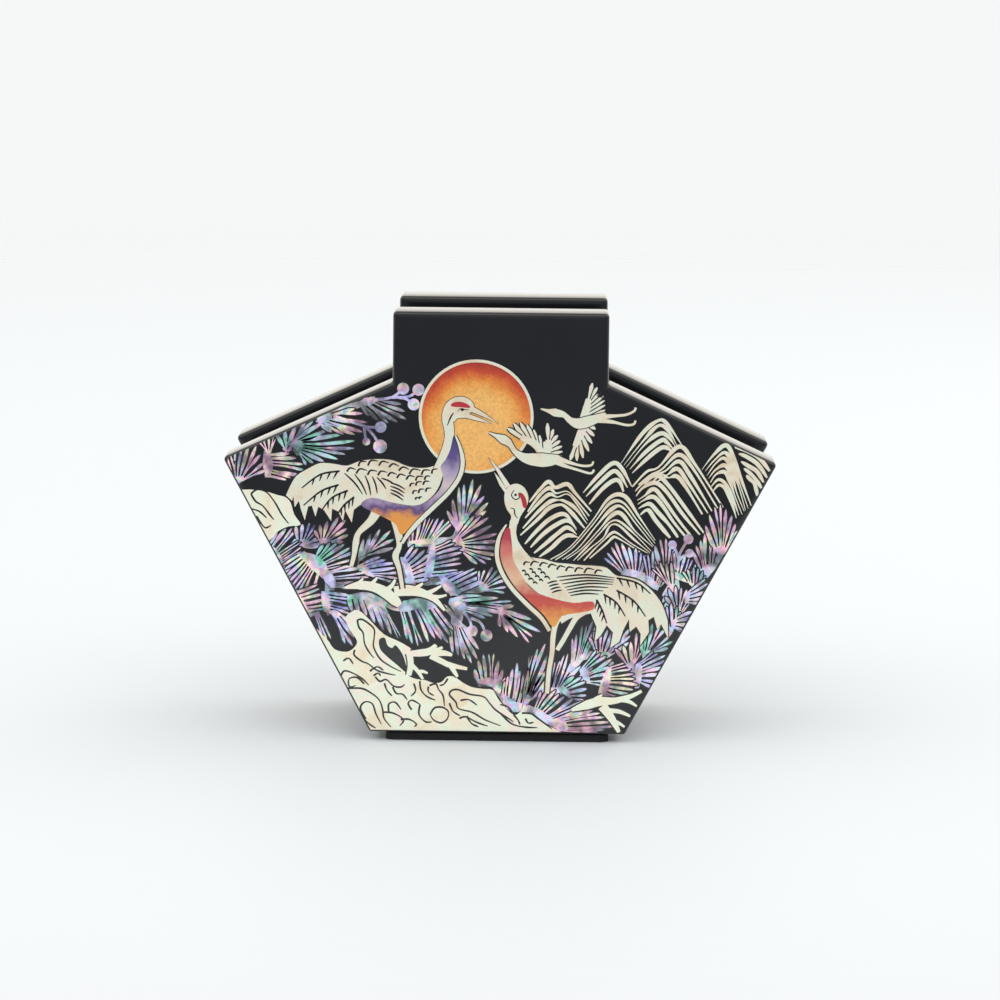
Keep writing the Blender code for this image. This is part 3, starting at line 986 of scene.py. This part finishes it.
# Rocks: an outline each, a hole through one, and the lines engraved in them
ROCKS = [
    [(-56.6, 52.4), (-55.0, 52.9), (-53.2, 52.9), (-50.6, 52.6), (-48.0, 51.8), (-46.4, 51.4),
     (-45.2, 50.2), (-44.4, 47.6), (-43.0, 45.4), (-45.6, 45.0), (-48.0, 43.8), (-49.6, 42.0),
     (-52.0, 41.6), (-57.0, 49.0)],
    [(-40.6, 22.2), (-37.4, 20.6), (-35.6, 18.2), (-33.0, 17.6), (-31.4, 18.4), (-30.6, 20.0),
     (-32.0, 22.2), (-33.2, 24.8), (-32.2, 26.2), (-30.4, 26.8), (-28.0, 24.8), (-24.8, 21.6),
     (-21.4, 20.0), (-18.6, 18.2), (-18.6, 16.4), (-19.0, 14.2), (-19.4, 12.6), (-17.6, 11.8),
     (-15.8, 11.6), (-14.0, 11.0), (-12.2, 11.2), (-11.0, 12.4), (-9.4, 12.4), (-7.6, 11.2), (-5.6, 10.2),
     (-3.0, 9.8), (-1.0, 9.6), (0.2, 7.6), (1.8, 5.8), (3.2, 4.4), (4.2, 4.2), (5.2, 4.9), (6.8, 4.7),
     (9.6, 2.7), (13.6, 0.6), (14.0, -1.0), (-29.0, -1.0)],
]
ROCK_HOLE = [(-25.8, 20.4), (-25.6, 18.4), (-24.2, 16.8), (-21.8, 14.8), (-19.8, 13.2), (-20.0, 15.2),
             (-20.8, 17.4), (-22.2, 19.2), (-23.0, 18.6), (-24.0, 19.2), (-24.6, 20.8)]
ROCK_LINES = [
    [(-53.8, 52.0), (-52.4, 53.0), (-50.4, 52.4), (-48.6, 50.2), (-47.0, 47.4), (-45.6, 45.6)],
    [(-53.8, 52.0), (-52.8, 50.4), (-51.2, 49.4), (-49.8, 47.6), (-48.8, 46.4)],
    [(-55.8, 50.8), (-54.2, 49.0), (-52.0, 48.2), (-50.4, 46.8)],
    [(-52.6, 47.2), (-51.6, 45.6), (-50.6, 44.6), (-49.4, 45.2)],
    [(-30.6, 24.6), (-30.2, 23.0), (-29.3, 21.8), (-29.0, 19.6), (-28.1, 17.8), (-26.9, 16.3)],
    [(-30.6, 24.6), (-29.6, 24.8), (-28.1, 23.9), (-26.9, 22.6), (-26.9, 20.8), (-27.0, 18.8),
     (-25.6, 16.2), (-23.4, 14.6), (-21.0, 13.4)],
    [(-31.1, 18.1), (-31.2, 16.9), (-29.6, 15.6), (-28.1, 15.0), (-26.2, 13.6), (-23.8, 12.9),
     (-22.2, 12.6)],
    [(-33.6, 15.6), (-32.4, 16.2), (-31.4, 14.9)],
    [(-34.2, 12.1), (-33.3, 13.4), (-31.2, 12.8), (-29.3, 11.6), (-28.0, 10.3)],
    [(-29.0, 10.6), (-30.6, 12.0), (-32.3, 11.6), (-32.2, 9.9), (-30.8, 10.2)],
    [(-33.0, 9.5), (-29.8, 9.6), (-27.8, 8.8), (-25.8, 7.2), (-25.0, 5.2), (-24.6, 3.0), (-23.1, 1.1)],
    [(-28.6, 2.8), (-29.8, 5.2), (-28.8, 6.6), (-27.2, 6.2), (-26.4, 4.0), (-25.2, 1.7)],
    [(-30.4, 4.6), (-28.4, 2.2), (-26.4, 0.8)],
    [(-23.6, 4.4), (-23.6, 6.2), (-22.2, 6.6), (-20.9, 5.0)],
    [(-24.8, 4.4), (-22.6, 4.2), (-20.4, 2.8), (-21.2, 1.4)],
    [(-21.0, 2.8), (-19.2, 2.9), (-17.6, 1.9), (-18.0, 1.2)],
    [(-18.6, 5.0), (-19.4, 6.4), (-18.5, 7.1), (-16.8, 6.2)],
    [(-16.8, 6.2), (-17.0, 4.0), (-15.6, 2.4), (-14.2, 2.4)],
    [(-14.6, 4.0), (-13.6, 5.5), (-11.8, 5.6), (-10.6, 4.6), (-10.9, 3.0), (-12.2, 2.2), (-13.8, 2.8),
     (-14.6, 4.0)],
    [(-16.9, 11.4), (-16.6, 9.4), (-15.2, 7.9), (-13.4, 7.2)],
    [(-15.0, 10.2), (-15.0, 9.0), (-13.8, 8.2)],
    [(-14.8, 10.4), (-13.4, 10.8), (-12.8, 9.6), (-11.8, 8.2), (-11.5, 5.9)],
    [(-26.6, 12.2), (-25.6, 11.2), (-24.2, 11.6), (-22.6, 10.2), (-21.0, 10.0), (-20.2, 10.6)],
    [(-24.6, 10.8), (-24.0, 9.2), (-22.9, 8.0)],
    [(-27.0, 12.4), (-26.0, 13.0), (-25.4, 12.4)],
    [(-10.0, 9.4), (-10.4, 8.4), (-9.0, 6.8), (-8.4, 5.4), (-5.4, 4.6), (-2.6, 3.0), (0.8, 1.7)],
    [(-10.0, 9.4), (-8.6, 9.6), (-6.0, 8.6), (-3.0, 8.1), (-1.6, 6.6), (-0.2, 5.1), (2.6, 3.3),
     (3.6, 2.6)],
    [(-8.2, 3.2), (-6.8, 3.6), (-4.4, 2.4), (-2.0, 1.6)],
    [(3.6, 4.2), (4.6, 3.0), (5.0, 2.0)],
    [(6.2, 3.4), (6.8, 2.4), (8.0, 2.6)],
    [(-10.8, 12.0), (-11.6, 10.8), (-12.6, 10.4)],
    [(3.4, 4.6), (2.2, 6.0), (0.6, 6.4)],
    [(5.4, 4.6), (7.6, 4.4), (9.8, 2.8), (12.0, 1.2)],
    [(0.8, 4.4), (3.2, 2.2), (6.0, 1.5), (8.8, 1.4)],
    [(-27.8, 13.4), (-26.2, 14.4), (-24.8, 13.6)],
    [(-18.2, 10.8), (-17.8, 9.2), (-18.8, 8.0)],
    [(-8.0, 7.2), (-6.2, 7.4), (-4.4, 6.2)],
    [(-22.8, 10.0), (-22.0, 8.6), (-20.6, 8.4), (-19.6, 7.2)],
    [(-10.4, 6.6), (-9.6, 4.8), (-8.0, 3.8)],
    [(-6.6, 3.8), (-5.6, 2.2), (-4.0, 1.4)],
]
ROCK_LINE_WIDTHS = [0.42, 0.44, 0.3, 0.42, 0.2]


def draw_rocks(shell, lines):
    for outline in ROCKS:
        shell.patch(smooth(outline, 3, closed=True), over())
    lines.patch(smooth(ROCK_HOLE, 4, closed=True), over())
    for line in ROCK_LINES:
        ribbon(lines, smooth(line, 5), ROCK_LINE_WIDTHS, over())


# Bare branches: the widths along each, and the line it follows
BRANCHES = [
    ([0.4, 1.9, 2.0, 2.4, 2.2, 1.2],
     [(-33.4, 31.7), (-30.0, 32.3), (-27.0, 31.9), (-24.6, 30.8), (-22.4, 29.0), (-21.4, 28.0)]),
    ([2.2, 2.4, 1.8, 1.2, 0.5],
     [(-22.6, 31.0), (-19.6, 31.3), (-16.6, 30.8), (-13.8, 29.4), (-11.6, 27.0)]),
    ([1.3, 0.9, 0.5], [(-28.6, 32.2), (-27.4, 32.8), (-26.4, 33.9)]),
    ([1.3, 0.9, 0.5], [(-24.4, 31.2), (-23.2, 32.2), (-22.4, 33.6)]),
    ([1.2, 0.9, 0.5], [(-19.4, 31.4), (-17.8, 31.9), (-16.4, 32.9)]),
    ([1.1, 0.8, 0.4], [(-15.6, 30.6), (-14.0, 31.4), (-12.4, 32.4)]),
    ([1.0, 0.7, 0.4], [(-31.6, 32.0), (-30.4, 32.8), (-29.4, 33.8)]),
    ([1.0, 0.7, 0.4], [(-14.6, 30.0), (-12.8, 30.0), (-11.2, 30.4)]),
    ([1.1, 1.3, 1.4], [(-19.3, 12.6), (-18.9, 15.0), (-19.2, 17.4)]),
    ([1.2, 1.6, 1.6, 0.7], [(-19.0, 17.4), (-16.6, 17.6), (-14.8, 18.0), (-13.4, 19.4)]),
    ([1.1, 0.9, 0.5], [(-14.6, 18.2), (-13.2, 18.3), (-12.0, 18.9)]),
    ([1.6, 1.2, 0.6], [(-14.2, 17.6), (-11.6, 17.6), (-9.9, 17.2)]),
    ([1.3, 1.2, 1.2, 0.6], [(-14.6, 17.0), (-11.8, 15.6), (-10.4, 15.0), (-6.6, 14.2)]),
    ([1.1, 0.9, 0.5], [(-10.2, 14.8), (-9.3, 13.4), (-8.7, 12.4)]),
    ([1.0, 0.8, 0.5], [(-18.6, 14.8), (-17.4, 13.6), (-16.2, 11.8)]),
    ([0.9, 0.7, 0.4], [(-17.0, 13.4), (-16.2, 13.5), (-15.2, 13.1)]),
    ([0.6, 2.0, 2.0, 1.4, 1.0, 0.6],
     [(16.2, 5.4), (19.6, 6.6), (22.4, 7.4), (25.6, 7.6), (29.0, 8.6), (31.4, 9.8)]),
    ([2.2, 1.6, 0.7], [(22.9, 6.4), (25.0, 3.6), (26.6, 0.6)]),
    ([1.0, 0.7, 0.4], [(25.2, 3.2), (26.6, 2.6), (27.8, 1.8)]),
    ([1.1, 0.9, 0.5], [(24.2, 5.4), (26.6, 5.2), (29.0, 4.2)]),
    ([1.0, 0.8, 0.4], [(27.0, 7.8), (28.8, 7.4), (30.4, 6.4)]),
    ([1.0, 0.7, 0.4], [(20.4, 6.8), (21.4, 8.0), (22.8, 8.8)]),
]
BRANCH_EDGE = 0.6


def draw_branches(shell, gaps):
    """All the branches' edges of black ground first, so that branches that meet run into one another."""
    for widths, line in BRANCHES:
        ribbon(gaps, smooth(line, 5), [width + BRANCH_EDGE for width in widths], over())
    for widths, line in BRANCHES:
        ribbon(shell, smooth(line, 5), widths, over())


# Standing cranes. The body and legs, then the neck, head and bill, are cut from one sheet. A tinted band
# and a breast line of shell lie on them. The rest is engraved: the face, rows of scalloped feathers,
# long quills from one line to another, and the tail's plumes, with their barbs turned off by an angle.
LEFT_CRANE = {
    "body": [(-29.4, 50.2), (-27.4, 51.4), (-23.1, 50.5), (-18.3, 49.9), (-15.5, 51.1), (-13.4, 53.5),
             (-12.2, 57.0), (-12.2, 59.8), (-14.2, 58.6), (-16.6, 58.1), (-19.8, 58.4), (-23.2, 59.7),
             (-26.8, 59.9), (-30.4, 59.4), (-33.0, 58.4), (-36.0, 58.8), (-38.8, 58.9), (-41.2, 57.8),
             (-44.0, 56.0), (-45.4, 53.6)],
    "tail": [(-46.2, 51.8), (-44.9, 50.6), (-44.6, 51.6), (-44.3, 49.2), (-43.4, 50.6), (-42.9, 48.6),
             (-42.1, 46.4), (-41.4, 49.4), (-40.6, 49.6), (-39.8, 47.2), (-39.2, 49.4), (-37.9, 48.6),
             (-36.4, 46.3), (-36.2, 49.0), (-34.9, 48.4), (-33.8, 46.3), (-33.4, 48.7), (-31.9, 46.0),
             (-31.5, 48.8), (-30.4, 49.7)],
    "legs": [[(-26.6, 48.4), (-27.8, 46.4), (-30.4, 43.8), (-31.0, 41.6), (-31.4, 38.8), (-32.0, 36.4)],
             [(-22.6, 47.4), (-21.8, 44.0), (-21.6, 41.0), (-22.4, 38.8), (-21.6, 36.0), (-20.8, 31.6)]],
    "leg_widths": [2.2, 1.7, 1.1, 1.4, 0.95, 0.8],
    "neck": [(-12.9, 57.6), (-11.8, 61.0), (-11.0, 64.2), (-11.0, 66.6), (-11.4, 69.0), (-11.0, 71.0)],
    "neck_widths": [3.0, 2.2, 2.0, 2.3, 2.2],
    "head": [(-12.4, 69.0), (-12.3, 70.9), (-11.4, 72.5), (-9.7, 73.6), (-7.6, 73.6), (-6.1, 72.6),
             (-5.7, 71.4), (-6.5, 70.2), (-7.6, 69.2), (-9.2, 69.0), (-10.2, 68.2)],
    "bill": [[(-6.4, 71.9), (-3.4, 70.2), (-0.5, 68.0), (-3.6, 69.4), (-6.6, 70.6)],
             [(-7.6, 70.3), (-4.6, 69.2), (-1.8, 67.9), (-4.8, 68.5), (-7.8, 69.2)]],
    "band": [(-9.9, 65.4), (-10.7, 62.3), (-11.7, 60.0), (-12.8, 58.4), (-12.2, 56.0), (-13.0, 53.4),
             (-15.4, 51.0), (-18.4, 49.9), (-23.1, 50.5), (-27.6, 51.5), (-30.0, 50.0), (-27.5, 48.4),
             (-25.3, 47.4), (-23.0, 46.2), (-22.2, 45.4), (-21.4, 43.6), (-20.2, 44.0), (-17.9, 46.5),
             (-15.4, 48.9), (-13.0, 51.0), (-10.2, 54.8), (-8.6, 58.4), (-8.7, 61.6)],
    "breast": [(-9.6, 65.2), (-8.5, 62.4), (-8.0, 59.2), (-8.8, 56.0), (-11.2, 52.6), (-14.4, 49.4),
               (-17.2, 46.6), (-19.6, 43.8), (-21.0, 41.6)],
    "breast_edge": [0.7, 1.3, 1.3, 1.3, 1.2],
    "breast_widths": [0.3, 0.9, 0.9, 0.9, 1.0, 0.6],
    "crown": [(-10.6, 71.6), (-10.2, 72.4), (-8.4, 72.6), (-6.8, 71.9), (-6.6, 71.3), (-8.4, 71.4)],
    "eye": ((-8.2, 70.9), 0.34),
    "face": [([(-9.2, 70.4), (-8.6, 71.1), (-7.6, 70.9), (-6.8, 70.9)], [0.1, 0.24, 0.1]),
             ([(-10.1, 70.2), (-10.8, 69.0), (-11.4, 67.4)], [0.2, 0.4, 0.14])],
    "scallops": [([(-30.6, 58.6), (-27.0, 58.9), (-23.4, 58.4), (-20.0, 57.2), (-16.0, 56.9),
                   (-13.2, 57.6)], 2.2),
                 ([(-33.0, 57.4), (-29.0, 56.8), (-25.0, 56.6), (-21.4, 56.0), (-17.8, 55.6),
                   (-14.8, 56.0)], 2.0), ([(-19.4, 54.2), (-17.4, 54.6), (-15.0, 54.8)], 1.5),
                 ([(-18.8, 52.6), (-16.8, 53.0), (-14.6, 53.4)], 1.5),
                 ([(-18.2, 51.3), (-16.6, 51.6)], 1.4)],
    "quills": [([(-33.6, 56.8), (-28.0, 56.2), (-25.6, 55.8)],
                [(-29.6, 52.2), (-27.4, 51.9), (-22.6, 54.4)], 6),
               ([(-23.6, 54.8), (-23.6, 52.6)], [(-20.4, 53.4), (-20.8, 51.0)], 4)],
    "plumes": [[(-34.6, 57.2), (-38.8, 56.4), (-42.8, 53.4)],
               [(-34.8, 54.2), (-38.6, 52.8), (-42.4, 49.6)],
               [(-32.8, 53.0), (-36.2, 51.4), (-38.6, 48.4)],
               [(-31.4, 51.6), (-33.6, 49.8), (-35.4, 47.2)]],
    "barb_turn": 0.62,
}
RIGHT_CRANE = {
    "body": [(20.4, 26.0), (19.0, 29.0), (16.4, 29.0), (12.8, 29.7), (8.8, 31.0), (6.2, 33.2),
             (4.0, 35.2), (2.8, 37.6), (3.6, 41.0), (5.0, 39.6), (7.6, 38.8), (9.9, 38.5), (12.4, 37.8),
             (15.0, 37.6), (18.2, 37.3), (21.0, 37.2), (23.4, 36.8), (25.4, 35.2), (27.8, 34.8),
             (30.6, 34.0), (33.4, 31.8), (35.6, 28.8), (36.8, 25.4)],
    "tail": [(37.0, 21.4), (35.4, 24.6), (34.6, 23.4), (33.8, 26.2), (32.6, 25.4), (32.8, 22.8),
             (30.9, 19.8), (31.0, 22.4), (30.0, 24.0), (28.6, 22.8), (28.4, 25.6), (27.2, 23.2),
             (26.4, 20.6), (24.4, 19.2), (25.0, 22.6), (23.6, 24.2), (22.4, 22.0), (21.0, 20.6),
             (21.4, 23.8)],
    "legs": [[(14.4, 27.4), (12.6, 24.6), (12.0, 21.6), (11.8, 18.0), (11.2, 14.0), (10.8, 9.0)],
             [(18.6, 27.0), (17.0, 25.8), (15.6, 23.4), (14.2, 20.8), (12.9, 18.6)],
             [(13.5, 25.0), (16.0, 26.3), (20.8, 27.4)]],
    "leg_widths": [1.3, 1.2, 1.1, 1.0, 1.0, 0.9],
    "neck": [(5.8, 36.6), (4.2, 39.4), (3.2, 42.2), (2.9, 44.4), (3.2, 46.8)],
    "neck_widths": [5.0, 3.4, 1.9, 1.6, 1.7],
    "head": [(2.3, 46.0), (2.6, 47.8), (1.6, 49.4), (1.1, 51.2), (1.2, 53.0), (2.2, 54.5), (4.0, 54.9),
             (5.6, 53.8), (6.3, 51.8), (5.8, 49.8), (4.6, 47.8), (3.8, 45.8)],
    "bill": [[(1.4, 53.9), (-0.5, 57.4), (-2.4, 60.5), (-0.2, 58.2), (2.3, 54.6)],
             [(1.2, 52.9), (0.0, 54.6), (-1.2, 57.4), (-0.1, 56.2), (1.5, 53.7)]],
    "band": [(2.3, 45.2), (1.4, 44.9), (0.6, 42.8), (0.3, 40.2), (0.7, 37.6), (2.0, 34.8), (4.0, 31.9),
             (7.4, 28.6), (10.0, 26.2), (11.6, 23.9), (12.6, 24.0), (13.9, 26.1), (17.0, 26.8),
             (20.6, 27.6), (20.4, 29.4), (16.4, 29.0), (12.8, 29.7), (8.8, 31.0), (6.4, 32.8),
             (4.8, 35.4), (3.2, 38.2), (2.9, 41.0), (2.6, 43.6)],
    "breast": [(1.6, 46.0), (0.2, 43.6), (-0.4, 40.8), (-0.2, 38.0), (1.0, 34.9), (3.2, 31.7),
               (6.4, 28.4), (9.4, 25.6), (11.2, 22.8)],
    "breast_edge": [0.6, 1.3, 1.3, 1.3, 1.2],
    "breast_widths": [0.3, 0.9, 0.9, 0.9, 0.9, 0.8],
    "crown": [(4.2, 53.0), (5.2, 52.6), (5.9, 51.2), (5.9, 49.8), (5.2, 49.8), (4.8, 51.2)],
    "eye": ((3.5, 52.5), 0.3),
    "face": [([(3.2, 53.6), (2.6, 52.4), (3.4, 51.5), (4.3, 51.9), (4.1, 52.9)],
              [0.14, 0.26, 0.26, 0.14]),
             ([(2.4, 49.6), (3.2, 49.4), (3.4, 48.2), (4.0, 47.4)], [0.14, 0.3, 0.14])],
    "scallops": [([(5.4, 37.4), (9.4, 37.2), (13.6, 36.4), (18.0, 36.0), (22.6, 35.6)], 2.0),
                 ([(5.2, 36.0), (6.6, 34.2), (8.4, 32.8)], 1.1),
                 ([(6.8, 36.4), (8.0, 34.8), (9.6, 33.4)], 1.1),
                 ([(8.6, 36.4), (9.6, 35.2), (11.0, 33.8)], 1.1)],
    "quills": [([(12.6, 34.6), (14.4, 32.4), (15.6, 30.6)], [(25.2, 34.6), (24.8, 33.2), (21.8, 31.0)],
                7), ([(10.6, 33.2), (11.6, 31.2)], [(12.8, 33.8), (13.8, 31.8)], 4)],
    "plumes": [[(25.6, 34.6), (30.0, 33.6), (33.0, 31.2)], [(25.6, 31.9), (29.4, 29.6), (32.0, 26.2)],
               [(22.8, 31.0), (25.6, 29.2), (27.6, 26.2)], [(21.3, 29.8), (22.6, 27.4), (23.6, 24.6)]],
    "barb_turn": -0.66,
}
BODY_EDGE = 0.65
HEAD_EDGE = 0.24
FLYING_EDGE = 0.4
EYE_STEPS = 12
SCALLOP_LENGTH = 0.92
SCALLOP_DEPTH = 0.34
SCALLOP_WIDTHS = [0.42, 0.44, 0.34, 0.16]
QUILL_WIDTHS = [0.2, 0.4, 0.38, 0.16]
QUILL_BEND = 0.05
PLUME_WIDTHS = [0.44, 0.42, 0.26]
BARB_WIDTHS = [0.44, 0.38, 0.14]
BARBS = [(0.08, 1.9), (0.27, 1.78), (0.46, 1.66), (0.65, 1.54)]


def cut_out(sheets, outlines, strips, edge):
    """Shapes that touch, with a thin line of the black ground left round all of them together."""
    for outline in outlines:
        ribbon(sheets["bird_gaps"], outline + outline[:2], [edge, edge], over())
    for path, widths in strips:
        ribbon(sheets["bird_gaps"], path, [width + edge for width in widths], over())
    for path, widths in strips:
        ribbon(sheets["birds"], path, widths, over())
    for outline in outlines:
        sheets["birds"].patch(outline, over())


def scallops(lines, path, size, height):
    """A row of feather tips along a path, each a short hook."""
    length = sum((b - a).length for a, b in zip(path, path[1:]))
    count = max(2, round(length / size))
    for index in range(count):
        start = along(path, index / count)
        end = along(path, (index + SCALLOP_LENGTH) / count)
        side = Vector((start.y - end.y, end.x - start.x)) * SCALLOP_DEPTH
        hook = smooth([start - side * 0.5, start.lerp(end, 0.3) + side, end + side * 0.8], 4)
        ribbon(lines, hook, SCALLOP_WIDTHS, height)


def quills(lines, starts, ends, count, height):
    """Long quills side by side, from one line to another."""
    for index in range(count):
        share = index / (count - 1)
        start = along(starts, share)
        end = along(ends, share)
        side = Vector((start.y - end.y, end.x - start.x)) * QUILL_BEND
        ribbon(lines, smooth([start, start.lerp(end, 0.5) + side, end], 4), QUILL_WIDTHS, height)


def barbed_quill(lines, path, turn, height):
    """A plume's midline with barbs on one side, each from a share of the way along and of a length."""
    ribbon(lines, path, PLUME_WIDTHS, height)
    for share, length in BARBS:
        start = along(path, share)
        ahead = (path[-1] - start).normalized()
        barb = Matrix.Rotation(turn, 2) @ ahead * length
        ribbon(lines, [start, start + barb * 0.5, start + barb], BARB_WIDTHS, height)


def engrave_crane(lines, red, crane, height):
    """All that is engraved on a crane, at one height, and the red crown of its head."""
    red.patch(smooth(crane["crown"], 3, closed=True), height)
    eye, eye_size = crane["eye"]
    disc(lines, Vector(eye), eye_size, height, EYE_STEPS)
    for path, widths in crane["face"]:
        ribbon(lines, smooth(path, 4), widths, height)
    for path, size in crane["scallops"]:
        scallops(lines, smooth(path, 4), size, height)
    for starts, ends, count in crane["quills"]:
        quills(lines, points_of(starts), points_of(ends), count, height)
    for path in crane["plumes"]:
        barbed_quill(lines, smooth(path, 4), crane["barb_turn"], height)


def draw_standing_crane(sheets, crane, band):
    """A crane on its legs, with the sheet that its tinted band is cut from."""
    body = smooth(crane["body"], 3) + points_of(crane["tail"])
    cut_out(sheets, [body], [(smooth(leg, 5), crane["leg_widths"]) for leg in crane["legs"]], BODY_EDGE)
    head = [smooth(crane["head"], 4, closed=True)] + [points_of(bill) for bill in crane["bill"]]
    cut_out(sheets, head, [(smooth(crane["neck"], 4), crane["neck_widths"])], HEAD_EDGE)
    band.patch(smooth(crane["band"], 3, closed=True), over())
    breast = smooth(crane["breast"], 4)
    ribbon(sheets["bird_gaps"], breast, crane["breast_edge"], over())
    ribbon(sheets["birds"], breast, crane["breast_widths"], over())
    engrave_crane(sheets["bird_lines"], sheets["bird_crowns"], crane, over())


# Flying cranes: the wings of each, with the arm that the feathers spring from and the line of their
# tips, and its legs, neck and body, with the widths along each
FLYING_CRANES = [
    ([([(9.4, 61.0), (7.6, 63.6), (4.6, 65.0)],
       [(9.6, 64.2), (8.0, 66.2), (5.8, 67.8), (3.6, 68.6), (1.6, 67.0)]),
      ([(9.2, 60.6), (10.4, 62.6), (10.4, 64.6)],
       [(13.4, 61.0), (13.6, 62.6), (13.0, 64.4), (12.2, 66.2), (10.2, 68.2)])],
     [([(11.4, 60.2), (14.0, 59.0), (16.6, 58.2), (19.6, 57.4), (20.4, 58.2)], [1.4, 0.6, 0.5, 0.5]),
      ([(12.4, 60.6), (15.4, 59.6), (18.0, 59.0), (19.8, 59.2), (20.2, 60.0)], [1.2, 0.55, 0.5, 0.4]),
      ([(-2.4, 66.0), (-0.6, 65.2), (1.4, 64.2), (2.4, 63.2), (3.4, 61.8), (5.4, 60.6), (8.0, 60.2),
        (11.0, 60.2), (13.0, 60.8)], [0.2, 0.7, 1.9, 1.5, 1.0, 1.1, 1.8, 2.6, 3.0, 2.4, 0.9])]),
    ([([(17.8, 69.0), (18.6, 71.4), (19.0, 73.6)],
       [(22.6, 71.2), (22.6, 72.8), (22.2, 74.2), (21.4, 75.6), (19.8, 77.0)]),
      ([(18.4, 68.4), (17.4, 66.0), (16.2, 63.2)],
       [(20.6, 67.0), (20.2, 64.8), (19.2, 62.2), (17.4, 60.0), (15.2, 60.2)])],
     [([(21.0, 69.6), (24.0, 69.9), (27.0, 70.2), (28.8, 71.0), (29.2, 71.8)], [1.3, 0.6, 0.5, 0.45]),
      ([(21.0, 69.0), (24.4, 68.6), (27.2, 68.0), (28.8, 68.2), (29.2, 69.0)], [1.2, 0.55, 0.5, 0.45]),
      ([(8.7, 71.3), (10.6, 70.8), (12.4, 70.4), (13.8, 70.0), (15.2, 68.8), (17.0, 68.2), (19.4, 68.8),
        (21.4, 69.6), (22.8, 70.4)], [0.2, 0.7, 1.7, 1.5, 1.1, 1.4, 2.2, 2.4, 2.0, 1.4, 0.6])]),
]
FLIGHT_FEATHERS = 7
FEATHER_WIDTH = 0.85
FEATHER_GAP = 0.3
FEATHER_EDGE = 0.5
FEATHER_PROFILE = [0.9, 1.0, 1.0, 0.3]
ARM_WIDTHS = [1.5, 1.7, 1.1]


def flying_wing(sheets, arm, tips):
    """Feathers side by side, each from the wing's arm to its tip, with the arm filled in."""
    paths = []
    for index in range(FLIGHT_FEATHERS):
        share = index / (FLIGHT_FEATHERS - 1)
        root = along(arm, share)
        tip = along(tips, share)
        paths.append(smooth([root, root.lerp(tip, 0.55), tip], 3))
    for index, path in enumerate(paths):
        last = len(path) - 1
        widths = fitted_widths(paths, index, FEATHER_WIDTH, FEATHER_GAP)
        widths = [width * along(FEATHER_PROFILE, step / last) for step, width in enumerate(widths)]
        ribbon(sheets["bird_gaps"], path, [width + FEATHER_EDGE for width in widths], over())
        ribbon(sheets["birds"], path, widths, over())
    ribbon(sheets["birds"], smooth(arm, 4), ARM_WIDTHS, over())


def draw_flying_cranes(sheets):
    for wings, strips in FLYING_CRANES:
        for arm, tips in wings:
            flying_wing(sheets, points_of(arm), points_of(tips))
        cut_out(sheets, [], [(smooth(path, 5), widths) for path, widths in strips], FLYING_EDGE)


def make_picture():
    """The picture's materials by the names of its pieces, and what is drawn on the sheet of each."""
    cream = pale_shell("cream_shell", [(0.3, "#D6C8AE"), (0.45, "#E4DAC4"), (0.58, "#DCE2CE"),
                                       (0.72, "#E8DACE")], 7)
    rock = pale_shell("green_cream_shell", [(0.28, "#E4D2B2"), (0.44, "#EEE6CE"), (0.56, "#E6F0DA"),
                                            (0.66, "#F3E4D6"), (0.78, "#D9EEDC")], 8)
    shades = {shade: abalone_shell(shade) for shade in ABALONE}
    black = engraved_lacquer()
    red = tinted_lacquer("red_lacquer", 40, 80, [(0.0, "#A8232B"), (1.0, "#B72F36")])
    violet = tinted_lacquer("violet_to_amber_lacquer", 44, 65,
                            [(0.0, "#E69A3E"), (0.15, "#DE9448"), (0.24, "#5A4478"), (0.34, "#A08DAC"),
                             (0.5, "#CDBDC0"), (0.66, "#A99BB8"), (0.8, "#5B4A84"), (1.0, "#463870")])
    crimson = tinted_lacquer("amber_to_crimson_lacquer", 24, 45,
                             [(0.0, "#E09A42"), (0.1, "#DC8F45"), (0.2, "#C4503F"), (0.3, "#BC4640"),
                              (0.5, "#DDB795"), (0.75, "#CF7A6C"), (0.9, "#B23C4A"), (1.0, "#A83242")])
    materials = {
        "sun_ring": cream, "sun_disc": sun_lacquer(), "mountain_strokes": cream, "needle_gaps": black,
        "berries": shades["violet"], "rocks": rock, "rock_lines": black, "branches": rock,
        "branch_gaps": black, "birds": cream, "bird_gaps": black, "bird_lines": black,
        "bird_crowns": red, "left_crane_band": violet, "right_crane_band": crimson,
    }
    materials.update({shade + "_needles": material for shade, material in shades.items()})
    sheets = {name: Sheet() for name in materials}
    draw_sun(sheets["sun_ring"], sheets["sun_disc"])
    draw_mountains(sheets["mountain_strokes"])
    draw_pine(sheets)
    draw_berries(sheets["berries"])
    draw_rocks(sheets["rocks"], sheets["rock_lines"])
    draw_branches(sheets["branches"], sheets["branch_gaps"])
    draw_standing_crane(sheets, LEFT_CRANE, sheets["left_crane_band"])
    draw_standing_crane(sheets, RIGHT_CRANE, sheets["right_crane_band"])
    draw_flying_cranes(sheets)
    for name, sheet in sheets.items():
        let_in(name, sheet, materials[name])


make_camera()
make_floor()
make_light()
make_case()
make_picture()
